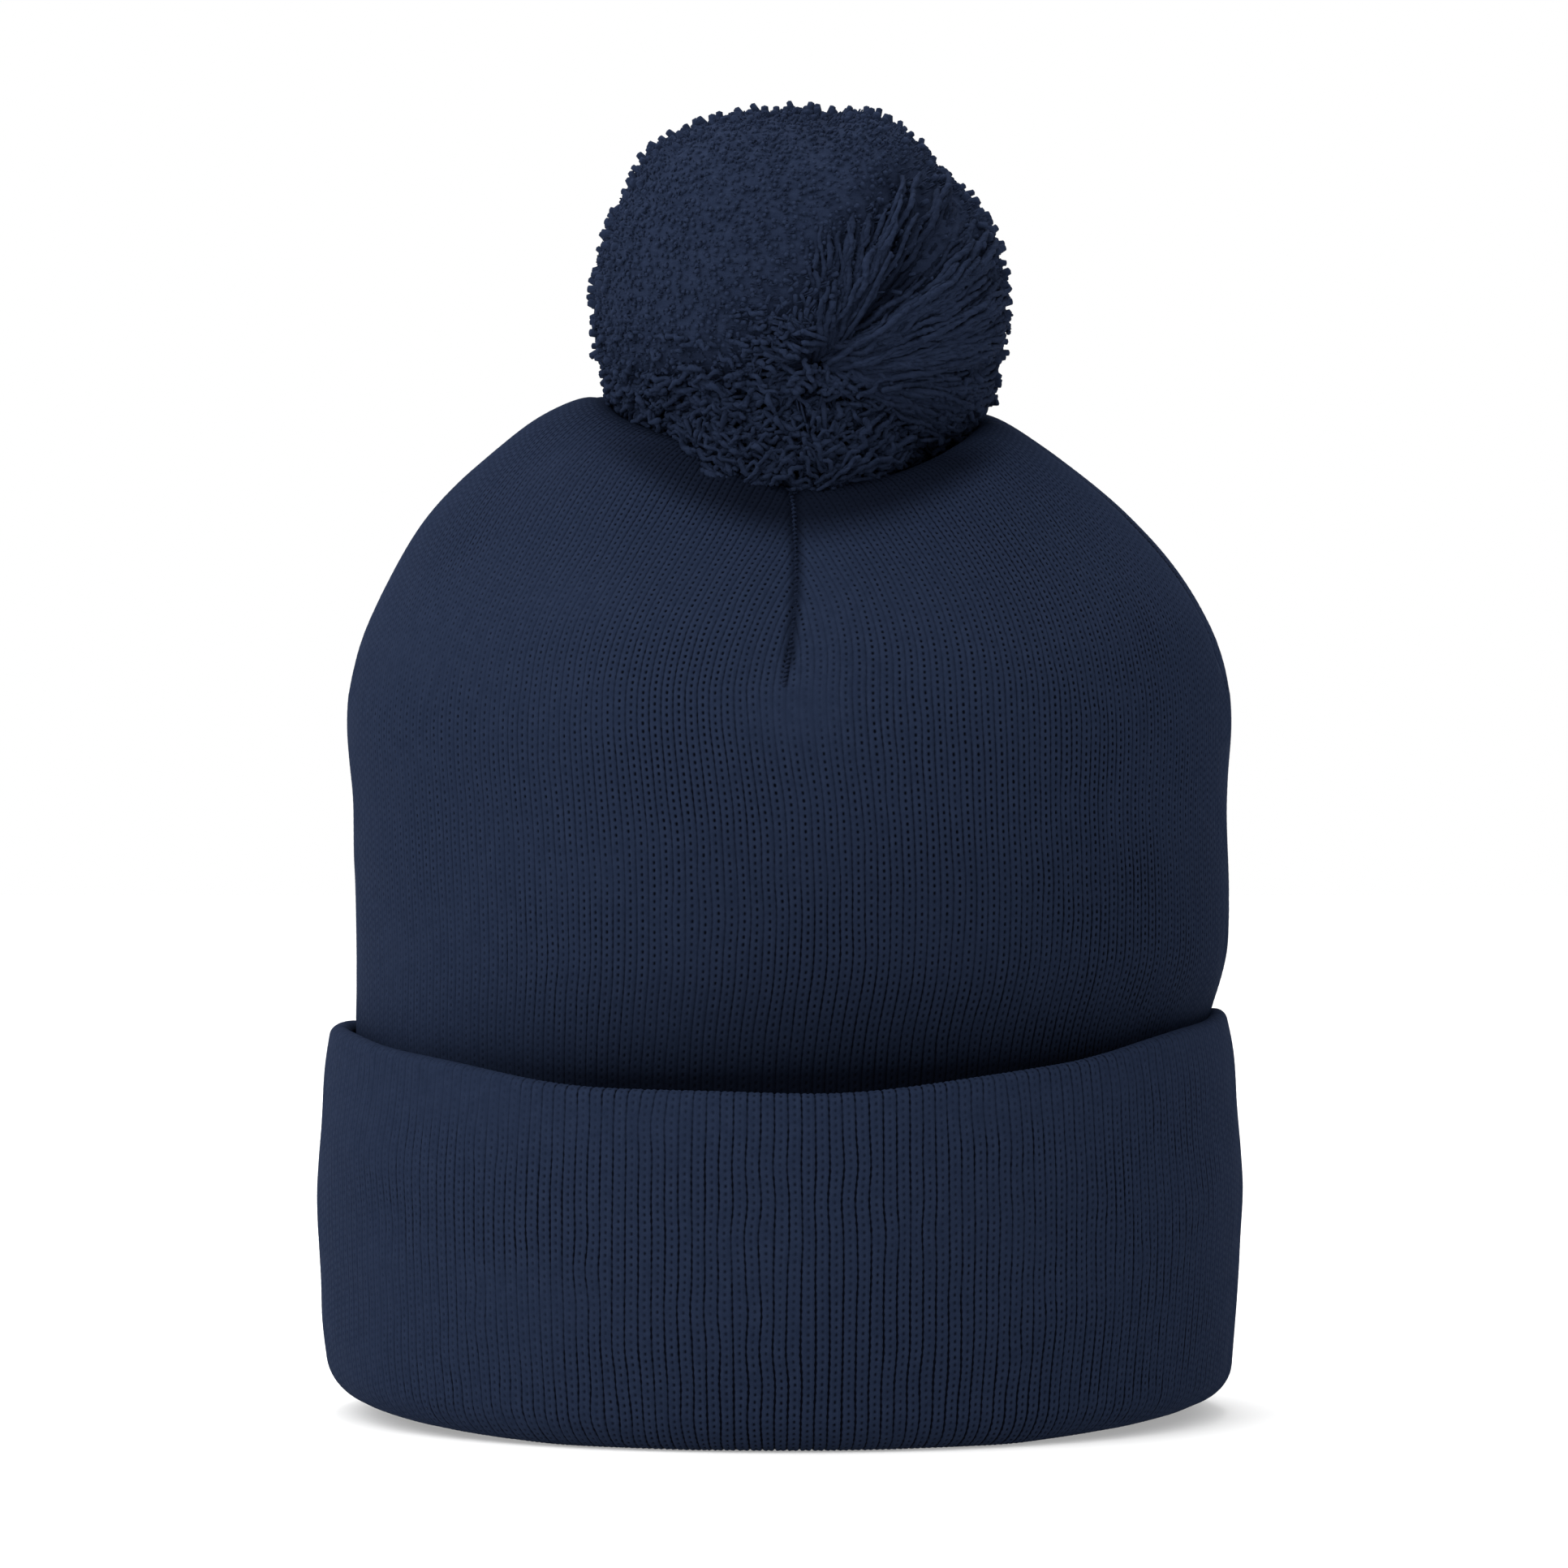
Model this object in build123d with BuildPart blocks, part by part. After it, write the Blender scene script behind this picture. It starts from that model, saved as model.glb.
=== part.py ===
from build123d import *
import math
import os

# A cuffed pom pom beanie in double-layer knit. Millimetres, +Z up, +X to the right of a viewer who
# stands in front, +Y to the back. The origin is on the surface the hat stands on, in the middle.

# ---- driving dimensions ----
knit_thickness = 1.8  # one layer of knit
layer_gap = 0.2  # slack between two layers of knit
layer_pitch = knit_thickness + layer_gap
pair_thickness = layer_pitch + knit_thickness

cuff_half_width = 85.6  # at the fullest height of the cuff
cuff_full_height = 37.0
cuff_bulge_radius = 226.0  # upright curve of the cuff's face
cuff_depth_ratio = 1.081  # front-to-back size over side-to-side size

fold_height = 8.0  # radius of the fold's outer side
fold_centre = 75.8
fold_flat = 1.0  # the narrow ring that the hat rests on
rest_trim = 0.15  # the soft fold is pressed flat by this much where it rests
fold_inner_radius = 3.0
join_height = 6.0  # where the fold's inner side becomes the upright layers

rim_front_height = 62.0
rim_side_height = 73.0
rim_reach = 92.0  # beyond the widest part of the cuff
rim_trim = 6.0  # extra height that the saddle-shaped rim is cut from
rim_rise_beyond = 3.0  # how much the rim's curve still rises out there
cutter_reach = 120.0
cutter_overlap = 0.1

pom_radius = 38.5
pom_centre = (3.4, -12.0, 203.5)
pom_clearance = 0.5
dish_floor = pom_centre[2] - pom_radius - pom_clearance  # the crown's dip under the pom
pom_tilt = 18.0  # degrees each way, fore-and-aft and side to side
tilt_to_spare = 1.0  # degrees

dart_width = 2.0
dart_proud = 0.8
dart_foot_height = 133.0
lining_seam_start = 13.0  # clear of each other and of the anchor knot
dart_azimuths = {"front": -89.0, "back": 90.0, "left": 178.0, "right": -8.0}

tail_radius = 1.1
tail_spacing = 2.6
gather_hole_radius = 5.0
gather_thread_radius = 0.8
gather_thread_drop = 0.9  # below the dip's lowest point, in the edge of the knit
lining_hole_radius = 3.2
hole_reach = 10.0
anchor_knot_radius = 4.6

tie_ring_radius = 6.3
tie_cord_radius = 1.4
tie_cavity_radius = 8.2
tie_knot_radius = 2.1
running_clearance = 0.35
throat_ceiling = 3.0  # the throat opens this far up into the tie's cavity
mouth_reach = 2.0  # its mouth is cut to this far past the pom's bottom

label_width = 20.0
label_drop = 34.0
label_leaf = 0.35  # one leaf of the folded satin
label_slack = 0.3
label_top_height = 128.0
label_wall_gap = 1.0
label_wall_depth = 79.4  # inside of the lining behind the label: half depth, half width
label_wall_width = 79.0
label_lean = 2.0  # follows the crown's sideways lean at that height
stitch_rise = 0.9
stitch_radius = 0.35
stitch_count = 7

# (height, half width, half depth over half width, sideways lean) of the outer layer
crown_sections = [
    (join_height, 75.6, 1.081, 0.0),
    (40.0, 76.4, 1.081, 0.0),
    (58.0, 77.3, 1.08, 0.0),
    (72.0, 78.5, 1.075, 0.4),
    (84.0, 80.1, 1.07, 2.0),
    (98.0, 80.5, 1.06, 2.2),
    (112.0, 80.7, 1.045, 2.0),
    (126.0, 81.6, 1.02, 1.8),
    (134.0, 80.9, 0.99, 1.8),
    (141.0, 79.3, 0.95, 1.7),
    (147.0, 76.9, 0.91, 1.6),
    (153.0, 73.6, 0.87, 1.3),
    (159.0, 69.7, 0.825, 0.6),
    (165.0, 64.9, 0.78, -0.2),
    (171.0, 59.1, 0.73, -1.0),
    (177.0, 52.0, 0.68, -1.7),
    (183.0, 43.2, 0.63, -2.3),
    (187.0, 35.9, 0.605, -2.4),
    (190.0, 28.0, 0.58, -2.4),
]


# ---- shapes shared by several pieces ----
def inward_section(index, inset):
    """The crown section at this index, moved in by inset square to the outline."""
    height, half_width, ratio, lean = crown_sections[index]
    below = crown_sections[max(index - 1, 0)]
    above = crown_sections[min(index + 1, len(crown_sections) - 1)]
    rise = above[0] - below[0]
    run = above[1] - below[1]
    length = math.hypot(rise, run)
    if index == 0:
        return height, half_width - inset, ratio, lean
    return height + inset * run / length, half_width - inset * rise / length, ratio, lean


def crown_block(inset):
    """A solid filled up to the outer layer's outside moved in by inset, dished under the pom."""
    with BuildPart() as block:
        for index in range(len(crown_sections)):
            height, half_width, ratio, lean = inward_section(index, inset)
            with BuildSketch(Plane.XY.offset(height)):
                with Locations((lean, 0)):
                    Ellipse(half_width, half_width * ratio)
        loft(ruled=True)
        with Locations(pom_centre):
            Sphere(pom_radius + pom_clearance + inset, mode=Mode.SUBTRACT)
    return block.part


def fold_outline(inset):
    """Corner points and radii of the cuff's face and fold, moved in by inset."""
    inner_radius = max(fold_inner_radius - inset, 0.0)
    inner_side = fold_centre - fold_flat - fold_inner_radius + inset
    flat_start = max(fold_centre - fold_flat, inner_side)
    return inner_side, inner_radius, flat_start, fold_height - inset


def cuff_face_at(height, inset):
    """Half width of the cuff's face at a height, moved in by inset."""
    radius = cuff_bulge_radius - inset
    axis = cuff_half_width - cuff_bulge_radius
    return axis + math.sqrt(radius**2 - (height - cuff_full_height) ** 2)


def outline_edges(inset, top_height):
    """The edges of one side of the fold's section, from the inner join round to the top."""
    inner_side, inner_radius, flat_start, outer_radius = fold_outline(inset)
    rest_height = inset - rest_trim
    corner_height = rest_height + inner_radius
    Line((inner_side, join_height), (inner_side, corner_height))
    if inner_radius > 0:
        CenterArc((flat_start, corner_height), inner_radius, 180, 90)
    Line((flat_start, rest_height), (fold_centre, rest_height))
    CenterArc((fold_centre, fold_height - rest_trim), outer_radius, 270, 90)
    shoulder = fold_centre + outer_radius
    Line((shoulder, fold_height - rest_trim), (cuff_face_at(fold_height, inset), fold_height))
    mid_height = (fold_height + top_height) / 2
    ThreePointArc(
        (cuff_face_at(fold_height, inset), fold_height),
        (cuff_face_at(mid_height, inset), mid_height),
        (cuff_face_at(top_height, inset), top_height),
    )
    return inner_side


def cuff_ring(outer_inset, inner_inset, rim_drop):
    """The turned-up band between two insets, cut off rim_drop below the rim."""
    top_height = rim_side_height + rim_trim
    with BuildPart() as ring:
        with BuildSketch(Plane.XZ):
            with BuildLine():
                outer_side = outline_edges(outer_inset, top_height)
                inner_side = outline_edges(inner_inset, top_height)
                Line((outer_side, join_height), (inner_side, join_height))
                Line(
                    (cuff_face_at(top_height, outer_inset), top_height),
                    (cuff_face_at(top_height, inner_inset), top_height),
                )
            make_face()
        with BuildLine() as rest_line:
            add(Edge.make_ellipse(fold_centre, fold_centre * cuff_depth_ratio))
        sweep(path=rest_line.line)
        with BuildSketch(Plane.XZ):
            with BuildLine():
                rim_end = rim_side_height + rim_rise_beyond - rim_drop
                ThreePointArc(
                    (-rim_reach, rim_end),
                    (0, rim_front_height - rim_drop),
                    (rim_reach, rim_end),
                )
                Polyline(
                    (-rim_reach, rim_end),
                    (-rim_reach, cutter_reach),
                    (rim_reach, cutter_reach),
                    (rim_reach, rim_end),
                )
            make_face()
        extrude(amount=cutter_reach, both=True, mode=Mode.SUBTRACT)
        with BuildSketch(Plane.XY):
            Rectangle(2 * cutter_reach, 2 * cutter_reach)
        extrude(amount=-rest_trim - cutter_overlap, mode=Mode.SUBTRACT)
    return ring.part


def tail_hole(radius):
    """The upright hole of this radius through the middle of the crown, under the pom."""
    with BuildPart() as hole:
        with BuildSketch(Plane.XY.offset(dish_floor)):
            with Locations((pom_centre[0], pom_centre[1])):
                Circle(radius)
        extrude(amount=hole_reach, both=True)
    return hole.part


def save(part, name):
    part.label = name
    export_step(part, f"parts/{name}.step")


os.makedirs("parts", exist_ok=True)

# ---- the knit: two upright layers and the two layers of the turned-up cuff ----
outer_face = crown_block(0)
outer_back = crown_block(knit_thickness)
lining_face = crown_block(layer_pitch)
lining_back = crown_block(pair_thickness)

with BuildPart() as outer_knit_layer:
    add(outer_face)
    add(outer_back, mode=Mode.SUBTRACT)
    add(tail_hole(gather_hole_radius), mode=Mode.SUBTRACT)
save(outer_knit_layer.part, "outer_knit_layer")

with BuildPart() as inner_knit_layer:
    add(lining_face)
    add(lining_back, mode=Mode.SUBTRACT)
    add(tail_hole(lining_hole_radius), mode=Mode.SUBTRACT)
save(inner_knit_layer.part, "inner_knit_layer")

# The face of the cuff wraps over its backing layer at the rim.
with BuildPart() as cuff_outer_layer:
    add(cuff_ring(0, pair_thickness, 0))
    add(cuff_ring(knit_thickness, pair_thickness + cutter_overlap, knit_thickness), mode=Mode.SUBTRACT)
save(cuff_outer_layer.part, "cuff_outer_layer")

with BuildPart() as cuff_inner_layer:
    add(cuff_ring(layer_pitch, pair_thickness, layer_pitch))
save(cuff_inner_layer.part, "cuff_inner_layer")

# ---- dart seams: overlocked ridges that close the crown's four darts, outside and inside ----
proud_face = crown_block(-dart_proud)
sunk_back = crown_block(pair_thickness + dart_proud)


def dart_slab(azimuth, start):
    """An upright slab, as wide as a dart's seam, from a start radius out past the crown."""
    with BuildPart() as slab:
        with BuildSketch(Plane.XY.offset(dart_foot_height)):
            with PolarLocations(start, 1, start_angle=azimuth):
                Rectangle(rim_reach, dart_width, align=(Align.MIN, Align.CENTER))
        extrude(amount=pom_centre[2] - dart_foot_height)
    return slab.part


for side, azimuth in dart_azimuths.items():
    with BuildPart() as dart_seam:
        add(proud_face)
        add(outer_face, mode=Mode.SUBTRACT)
        add(dart_slab(azimuth, 0), mode=Mode.INTERSECT)
        with Locations(pom_centre):
            Sphere(pom_radius + pom_clearance, mode=Mode.SUBTRACT)
    save(dart_seam.part, f"{side}_dart_seam")
    with BuildPart() as lining_seam:
        add(lining_back)
        add(sunk_back, mode=Mode.SUBTRACT)
        add(dart_slab(azimuth, lining_seam_start), mode=Mode.INTERSECT)
    save(lining_seam.part, f"lining_{side}_seam")

# ---- pom ----
pom_plane = Plane(origin=pom_centre)
tilt_both_ways = math.degrees(math.acos(math.cos(math.radians(pom_tilt)) ** 2))
tail_reach = tail_spacing / 2 + tail_radius
mouth_depth = pom_radius + mouth_reach
throat_depth = tie_ring_radius + tie_cord_radius
throat_slope = math.tan(math.radians(tilt_both_ways + tilt_to_spare))
throat_top = pom_centre[2] - throat_depth + throat_ceiling
throat_foot = pom_centre[2] - throat_depth
mouth_height = pom_centre[2] - mouth_depth
throat_side = pom_centre[0] + tail_reach + throat_depth * throat_slope
mouth_side = pom_centre[0] + tail_reach + mouth_depth * throat_slope

with BuildPart() as pompom_yarn:
    with Locations(pom_centre):
        Sphere(pom_radius)
        Sphere(tie_cavity_radius, mode=Mode.SUBTRACT)
    with BuildSketch(Plane.XZ.offset(-pom_centre[1])):
        with BuildLine():
            Polyline(
                (pom_centre[0], throat_top),
                (throat_side, throat_top),
                (throat_side, throat_foot),
                (mouth_side, mouth_height),
                (pom_centre[0], mouth_height),
                close=True,
            )
        make_face()
    revolve(axis=Axis(pom_centre, (0, 0, 1)), mode=Mode.SUBTRACT)
save(pompom_yarn.part, "pompom_yarn")

with BuildPart() as pompom_tie_wrap:
    with BuildSketch(Plane.XZ.offset(-pom_centre[1])):
        with Locations((pom_centre[0], pom_centre[2] + tie_ring_radius)):
            Circle(tie_cord_radius)
    revolve(axis=Axis(pom_centre, (1, 0, 0)))
save(pompom_tie_wrap.part, "pompom_tie_wrap")

knot_height = pom_centre[2] - tie_ring_radius - tie_cord_radius - running_clearance - tie_knot_radius
with BuildPart() as pompom_tie_knot:
    with Locations((pom_centre[0], pom_centre[1], knot_height)):
        Sphere(tie_knot_radius)
save(pompom_tie_knot.part, "pompom_tie_knot")

tail_top = knot_height - tie_knot_radius - running_clearance
anchor_height = dish_floor - pair_thickness - anchor_knot_radius
with BuildPart() as pompom_tails:
    with BuildSketch(Plane.XY.offset(anchor_height + anchor_knot_radius)):
        with Locations((pom_centre[0], pom_centre[1])):
            with GridLocations(tail_spacing, 0, 2, 1):
                Circle(tail_radius)
    extrude(amount=tail_top - anchor_height - anchor_knot_radius)
save(pompom_tails.part, "pompom_tails")

with BuildPart() as crown_gathering_thread:
    with BuildSketch(Plane.XZ.offset(-pom_centre[1])):
        ring_radius = gather_hole_radius - gather_thread_radius
        with Locations((pom_centre[0] + ring_radius, dish_floor - gather_thread_drop)):
            Circle(gather_thread_radius)
    revolve(axis=Axis(pom_centre, (0, 0, 1)))
save(crown_gathering_thread.part, "crown_gathering_thread")

with BuildPart() as anchor_knot:
    with Locations((pom_centre[0], pom_centre[1], anchor_height)):
        Sphere(anchor_knot_radius)
save(anchor_knot.part, "anchor_knot")

# ---- care label: a folded satin loop, sewn inside the back of the lining ----
label_thickness = 2 * label_leaf + label_slack
wall_curve = math.sqrt(1 - (label_width / 2 / label_wall_width) ** 2)
label_back = label_wall_depth * wall_curve - label_wall_gap
label_middle = label_back - label_thickness / 2
label_front = label_back - label_thickness
with BuildPart() as care_label:
    with BuildSketch(Plane.YZ.offset(label_lean - label_width / 2)):
        with BuildLine():
            fold_low = label_top_height - label_drop + label_thickness / 2
            outer_fold = CenterArc((label_middle, fold_low), label_thickness / 2, 180, 180)
            inner_fold = CenterArc((label_middle, fold_low), label_slack / 2, 180, 180)
            Polyline(
                outer_fold @ 0,
                (label_front, label_top_height),
                (label_front + label_leaf, label_top_height),
                inner_fold @ 0,
            )
            Polyline(
                outer_fold @ 1,
                (label_back, label_top_height),
                (label_back - label_leaf, label_top_height),
                inner_fold @ 1,
            )
        make_face()
    extrude(amount=label_width)
save(care_label.part, "care_label")

with BuildPart() as label_stitches:
    with BuildSketch(Plane.XZ.offset(-label_front)):
        with Locations((label_lean, label_top_height + stitch_rise)):
            with GridLocations(label_width / stitch_count, 0, stitch_count, 1):
                Circle(stitch_radius)
    extrude(amount=-label_thickness - knit_thickness)
    add(lining_face, mode=Mode.INTERSECT)
    add(inner_knit_layer.part, mode=Mode.SUBTRACT)
save(label_stitches.part, "label_stitches")
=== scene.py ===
import math

import bpy
import numpy as np
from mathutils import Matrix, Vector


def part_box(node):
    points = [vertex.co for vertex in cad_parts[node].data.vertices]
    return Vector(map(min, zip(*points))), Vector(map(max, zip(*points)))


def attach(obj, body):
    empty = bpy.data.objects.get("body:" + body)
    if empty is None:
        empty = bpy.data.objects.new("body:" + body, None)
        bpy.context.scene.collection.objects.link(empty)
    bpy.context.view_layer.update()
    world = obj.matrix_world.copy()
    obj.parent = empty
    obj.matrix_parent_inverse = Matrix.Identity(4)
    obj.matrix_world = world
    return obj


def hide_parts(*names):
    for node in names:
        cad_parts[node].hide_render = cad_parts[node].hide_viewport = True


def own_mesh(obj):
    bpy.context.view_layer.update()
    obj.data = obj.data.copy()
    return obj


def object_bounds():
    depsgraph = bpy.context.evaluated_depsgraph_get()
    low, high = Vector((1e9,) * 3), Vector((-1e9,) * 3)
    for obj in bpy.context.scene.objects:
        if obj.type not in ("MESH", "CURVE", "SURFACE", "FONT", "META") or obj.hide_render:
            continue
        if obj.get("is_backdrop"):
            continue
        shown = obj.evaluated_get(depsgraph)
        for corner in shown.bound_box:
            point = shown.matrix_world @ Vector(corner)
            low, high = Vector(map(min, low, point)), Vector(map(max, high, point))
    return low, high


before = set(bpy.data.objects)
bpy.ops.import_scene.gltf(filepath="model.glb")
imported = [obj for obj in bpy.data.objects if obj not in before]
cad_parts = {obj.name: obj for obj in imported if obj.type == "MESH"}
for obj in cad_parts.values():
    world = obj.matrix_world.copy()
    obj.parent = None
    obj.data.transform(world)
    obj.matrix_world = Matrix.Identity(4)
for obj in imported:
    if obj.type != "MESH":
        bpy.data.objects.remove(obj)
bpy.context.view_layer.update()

MM = 0.001
rng = np.random.default_rng(20)

# ---- the hat's shape, in millimetres, repeated from the CAD source ----
CROWN = np.array(
    [
        (6.0, 75.6, 1.081, 0.0),
        (28.0, 76.0, 1.075, 0.0),
        (40.0, 76.4, 1.05, 0.0),
        (52.0, 77.0, 1.02, 0.0),
        (58.0, 77.3, 1.01, 0.0),
        (64.0, 77.8, 1.008, 0.0),
        (72.0, 78.6, 1.018, 0.5),
        (84.0, 80.5, 1.045, 2.4),
        (98.0, 81.0, 1.062, 2.5),
        (112.0, 81.0, 1.058, 1.8),
        (119.0, 81.6, 1.048, 1.6),
        (126.0, 82.1, 1.03, 1.6),
        (134.0, 81.5, 0.995, 1.7),
        (141.0, 80.1, 0.95, 1.8),
        (147.0, 77.7, 0.91, 1.9),
        (153.0, 74.5, 0.87, 1.6),
        (159.0, 70.8, 0.825, 0.9),
        (165.0, 66.2, 0.785, -0.1),
        (171.0, 60.2, 0.745, -0.9),
        (177.0, 52.8, 0.725, -1.6),
        (183.0, 44.8, 0.70, -2.2),
        (187.0, 38.8, 0.69, -2.6),
        (190.0, 30.0, 0.68, -2.4),
        (193.0, 19.0, 0.66, -2.4),
    ]
)
POM_CENTRE = np.array((3.4, -12.0, 203.5))
POM_RADIUS = 38.5
DISH_RADIUS = 39.0
HOLE_RADIUS = 5.0
DART_FOOT = 133.0
DARTS = (-89.0, -8.0, 90.0, 178.0)  # degrees
FOLD_CENTRE = 75.8
DEPTH_RATIO = 1.081
FACE_RADIUS, FACE_AXIS, FACE_MIDDLE = 226.0, 85.6 - 226.0, 37.0

# ---- the knit ----
WALES = 232  # round the hat
COURSE = 1.34
RIB_HEIGHT = 0.42
PER_WALE = 6  # mesh columns to a wale
PER_COURSE = 4  # mesh rows to a course


# ---------------------------------------------------------------- materials
def principled(name, roughness, sheen, sheen_roughness, specular):
    material = bpy.data.materials.new(name)
    material.use_nodes = True
    tree = material.node_tree
    shader = tree.nodes["Principled BSDF"]
    shader.inputs["Roughness"].default_value = roughness
    shader.inputs["Sheen Weight"].default_value = sheen
    shader.inputs["Sheen Roughness"].default_value = sheen_roughness
    shader.inputs["Specular IOR Level"].default_value = specular
    return material, tree, shader


def math_node(tree, operation, a, b=None):
    node = tree.nodes.new("ShaderNodeMath")
    node.operation = operation
    for socket, value in zip(node.inputs, (a, b)):
        if isinstance(value, bpy.types.NodeSocket):
            tree.links.new(value, socket)
        elif value is not None:
            socket.default_value = value
    return node.outputs[0]


def noise_node(tree, vector, scale, detail=2.0, roughness=0.5):
    node = tree.nodes.new("ShaderNodeTexNoise")
    node.inputs["Scale"].default_value = scale
    node.inputs["Detail"].default_value = detail
    node.inputs["Roughness"].default_value = roughness
    tree.links.new(vector, node.inputs["Vector"])
    return node.outputs["Fac"]


def remap(tree, value, low, high, to_low, to_high):
    node = tree.nodes.new("ShaderNodeMapRange")
    tree.links.new(value, node.inputs["Value"])
    node.inputs["From Min"].default_value = low
    node.inputs["From Max"].default_value = high
    node.inputs["To Min"].default_value = to_low
    node.inputs["To Max"].default_value = to_high
    return node.outputs["Result"]


def mixed(tree, factor, first, second):
    node = tree.nodes.new("ShaderNodeMix")
    node.data_type = "RGBA"
    tree.links.new(factor, node.inputs["Factor"])
    for socket, value in ((node.inputs["A"], first), (node.inputs["B"], second)):
        if isinstance(value, bpy.types.NodeSocket):
            tree.links.new(value, socket)
        else:
            socket.default_value = (*value, 1)
    return node.outputs["Result"]


def object_coordinates(tree, scale=(1, 1, 1)):
    coordinates = tree.nodes.new("ShaderNodeTexCoord")
    mapping = tree.nodes.new("ShaderNodeMapping")
    mapping.inputs["Scale"].default_value = scale
    tree.links.new(coordinates.outputs["Object"], mapping.inputs["Vector"])
    return mapping.outputs["Vector"]


def attribute_node(tree, name):
    node = tree.nodes.new("ShaderNodeAttribute")
    node.attribute_name = name
    return node.outputs["Fac"]


def bumped(tree, shader, height, strength, distance):
    node = tree.nodes.new("ShaderNodeBump")
    node.inputs["Strength"].default_value = strength
    node.inputs["Distance"].default_value = distance
    tree.links.new(height, node.inputs["Height"])
    tree.links.new(node.outputs["Normal"], shader.inputs["Normal"])


NAVY = (0.0078, 0.0124, 0.0269)
NAVY_PALE = (0.0102, 0.0157, 0.0331)
# the colour of the knit's painted shade, in its gaps and eyelets and where it tucks in
NAVY_SHADE = (0.0007, 0.0012, 0.0032)


def knit_material():
    """Stockinette: fine fibres, slight dye variation, painted shade in the gaps between the wales and at the loops, and
    painted shade where it tucks in.
    """
    material, tree, shader = principled("navy_knit", 0.92, 0.02, 0.45, 0.02)
    shader.inputs["Sheen Tint"].default_value = (0.25, 0.40, 0.85, 1)
    wale = attribute_node(tree, "wale")
    course = attribute_node(tree, "course")
    openness = attribute_node(tree, "openness")
    painted_shade = attribute_node(tree, "painted_shade")
    channels = attribute_node(tree, "channels")
    place = object_coordinates(tree)
    fibre = noise_node(tree, place, 2600, 3, 0.65)
    melange = noise_node(tree, place, 420, 3, 0.6)
    cloud = noise_node(tree, place, 34, 3)

    # distance from the nearest gap between wales, 0 at the gap and 1 on a loop's side
    turn = math_node(tree, "MULTIPLY", wale, 2 * math.pi)
    side = math_node(tree, "ABSOLUTE", math_node(tree, "SINE", turn))
    between = math_node(tree, "COSINE", turn)  # 1 between wales, -1 in a wale's middle
    stagger = math_node(tree, "MULTIPLY", math_node(tree, "SINE", math_node(tree, "MULTIPLY", wale, math.pi)), 0.23)
    row = math_node(tree, "ADD", course, stagger)
    lift = math_node(tree, "COSINE", math_node(tree, "MULTIPLY", row, 2 * math.pi))
    scalloped = math_node(tree, "ADD", side, math_node(tree, "MULTIPLY", lift, 0.13))
    wide = remap(tree, side, 0.12, 0.85, 1.0, 0.0)
    narrow = remap(tree, scalloped, 0.04, 0.62, 1.0, 0.0)
    eyelet = remap(tree, lift, -0.9, 0.35, 1.0, 0.0)  # dark where course is half way
    ladder = remap(tree, between, -0.2, 0.2, 0.0, 1.0)
    uneven = remap(tree, cloud, 0.34, 0.64, 0.42, 1.0)
    speck = remap(tree, melange, 0.3, 0.7, 0.45, 1.10)
    # painted shade in the eyelets and in the gaps between wales, stronger where the stitches stand open
    hole = math_node(tree, "MULTIPLY", math_node(tree, "MULTIPLY", eyelet, wide), math_node(tree, "SUBTRACT", 1.0, ladder))
    channel = math_node(tree, "MULTIPLY", math_node(tree, "MULTIPLY", ladder, narrow), channels)
    hole = math_node(tree, "MULTIPLY", hole, math_node(tree, "SUBTRACT", 1.35, math_node(tree, "MULTIPLY", channels, 0.62)))
    dark = math_node(tree, "ADD", hole, math_node(tree, "MULTIPLY", channel, uneven))
    dark = math_node(tree, "MULTIPLY", math_node(tree, "MULTIPLY", dark, openness), speck)
    dark = remap(tree, dark, 0.0, 0.55, 0.0, 1.0)
    node = mixed(tree, remap(tree, melange, 0.3, 0.7, 0.0, 1.0), NAVY, NAVY_PALE)
    # painted shade where the knit tucks in behind the cuff and under the pom
    node = mixed(tree, painted_shade, node, NAVY_SHADE)
    tree.links.new(mixed(tree, dark, node, NAVY_SHADE), shader.inputs["Base Color"])

    rough = remap(tree, fibre, 0.3, 0.7, 0.86, 0.97)
    tree.links.new(rough, shader.inputs["Roughness"])
    height = math_node(tree, "SUBTRACT", math_node(tree, "MULTIPLY", fibre, 0.5), math_node(tree, "MULTIPLY", dark, 0.8))
    bumped(tree, shader, height, 0.5, 0.00022)
    return material


def yarn_material(name, base, pale, deep, bump=0.35, streak=(1, 1, 1)):
    """Soft spun yarn: plies and loose fibres, with painted shade that darkens it towards its root, in the gaps and
    underneath.
    """
    material, tree, shader = principled(name, 0.95, 0.02, 0.5, 0.02)
    shader.inputs["Sheen Tint"].default_value = (0.25, 0.40, 0.85, 1)
    place = object_coordinates(tree)
    fibre = noise_node(tree, place, 2400, 4, 0.7)
    melange = noise_node(tree, object_coordinates(tree, streak), 520, 3, 0.6)
    cloud = noise_node(tree, place, 60, 2)
    # painted shade from the strands' attribute, made a little uneven
    root = attribute_node(tree, "depth")
    node = mixed(tree, remap(tree, melange, 0.3, 0.7, 0.0, 1.0), base, pale)
    shade = math_node(tree, "MULTIPLY", root, remap(tree, cloud, 0.3, 0.7, 0.7, 1.0))
    tree.links.new(mixed(tree, shade, node, deep), shader.inputs["Base Color"])
    tree.links.new(remap(tree, fibre, 0.3, 0.7, 0.88, 0.99), shader.inputs["Roughness"])
    height = math_node(tree, "ADD", fibre, math_node(tree, "MULTIPLY", melange, 0.6))
    bumped(tree, shader, height, bump, 0.0004)
    return material


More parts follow.
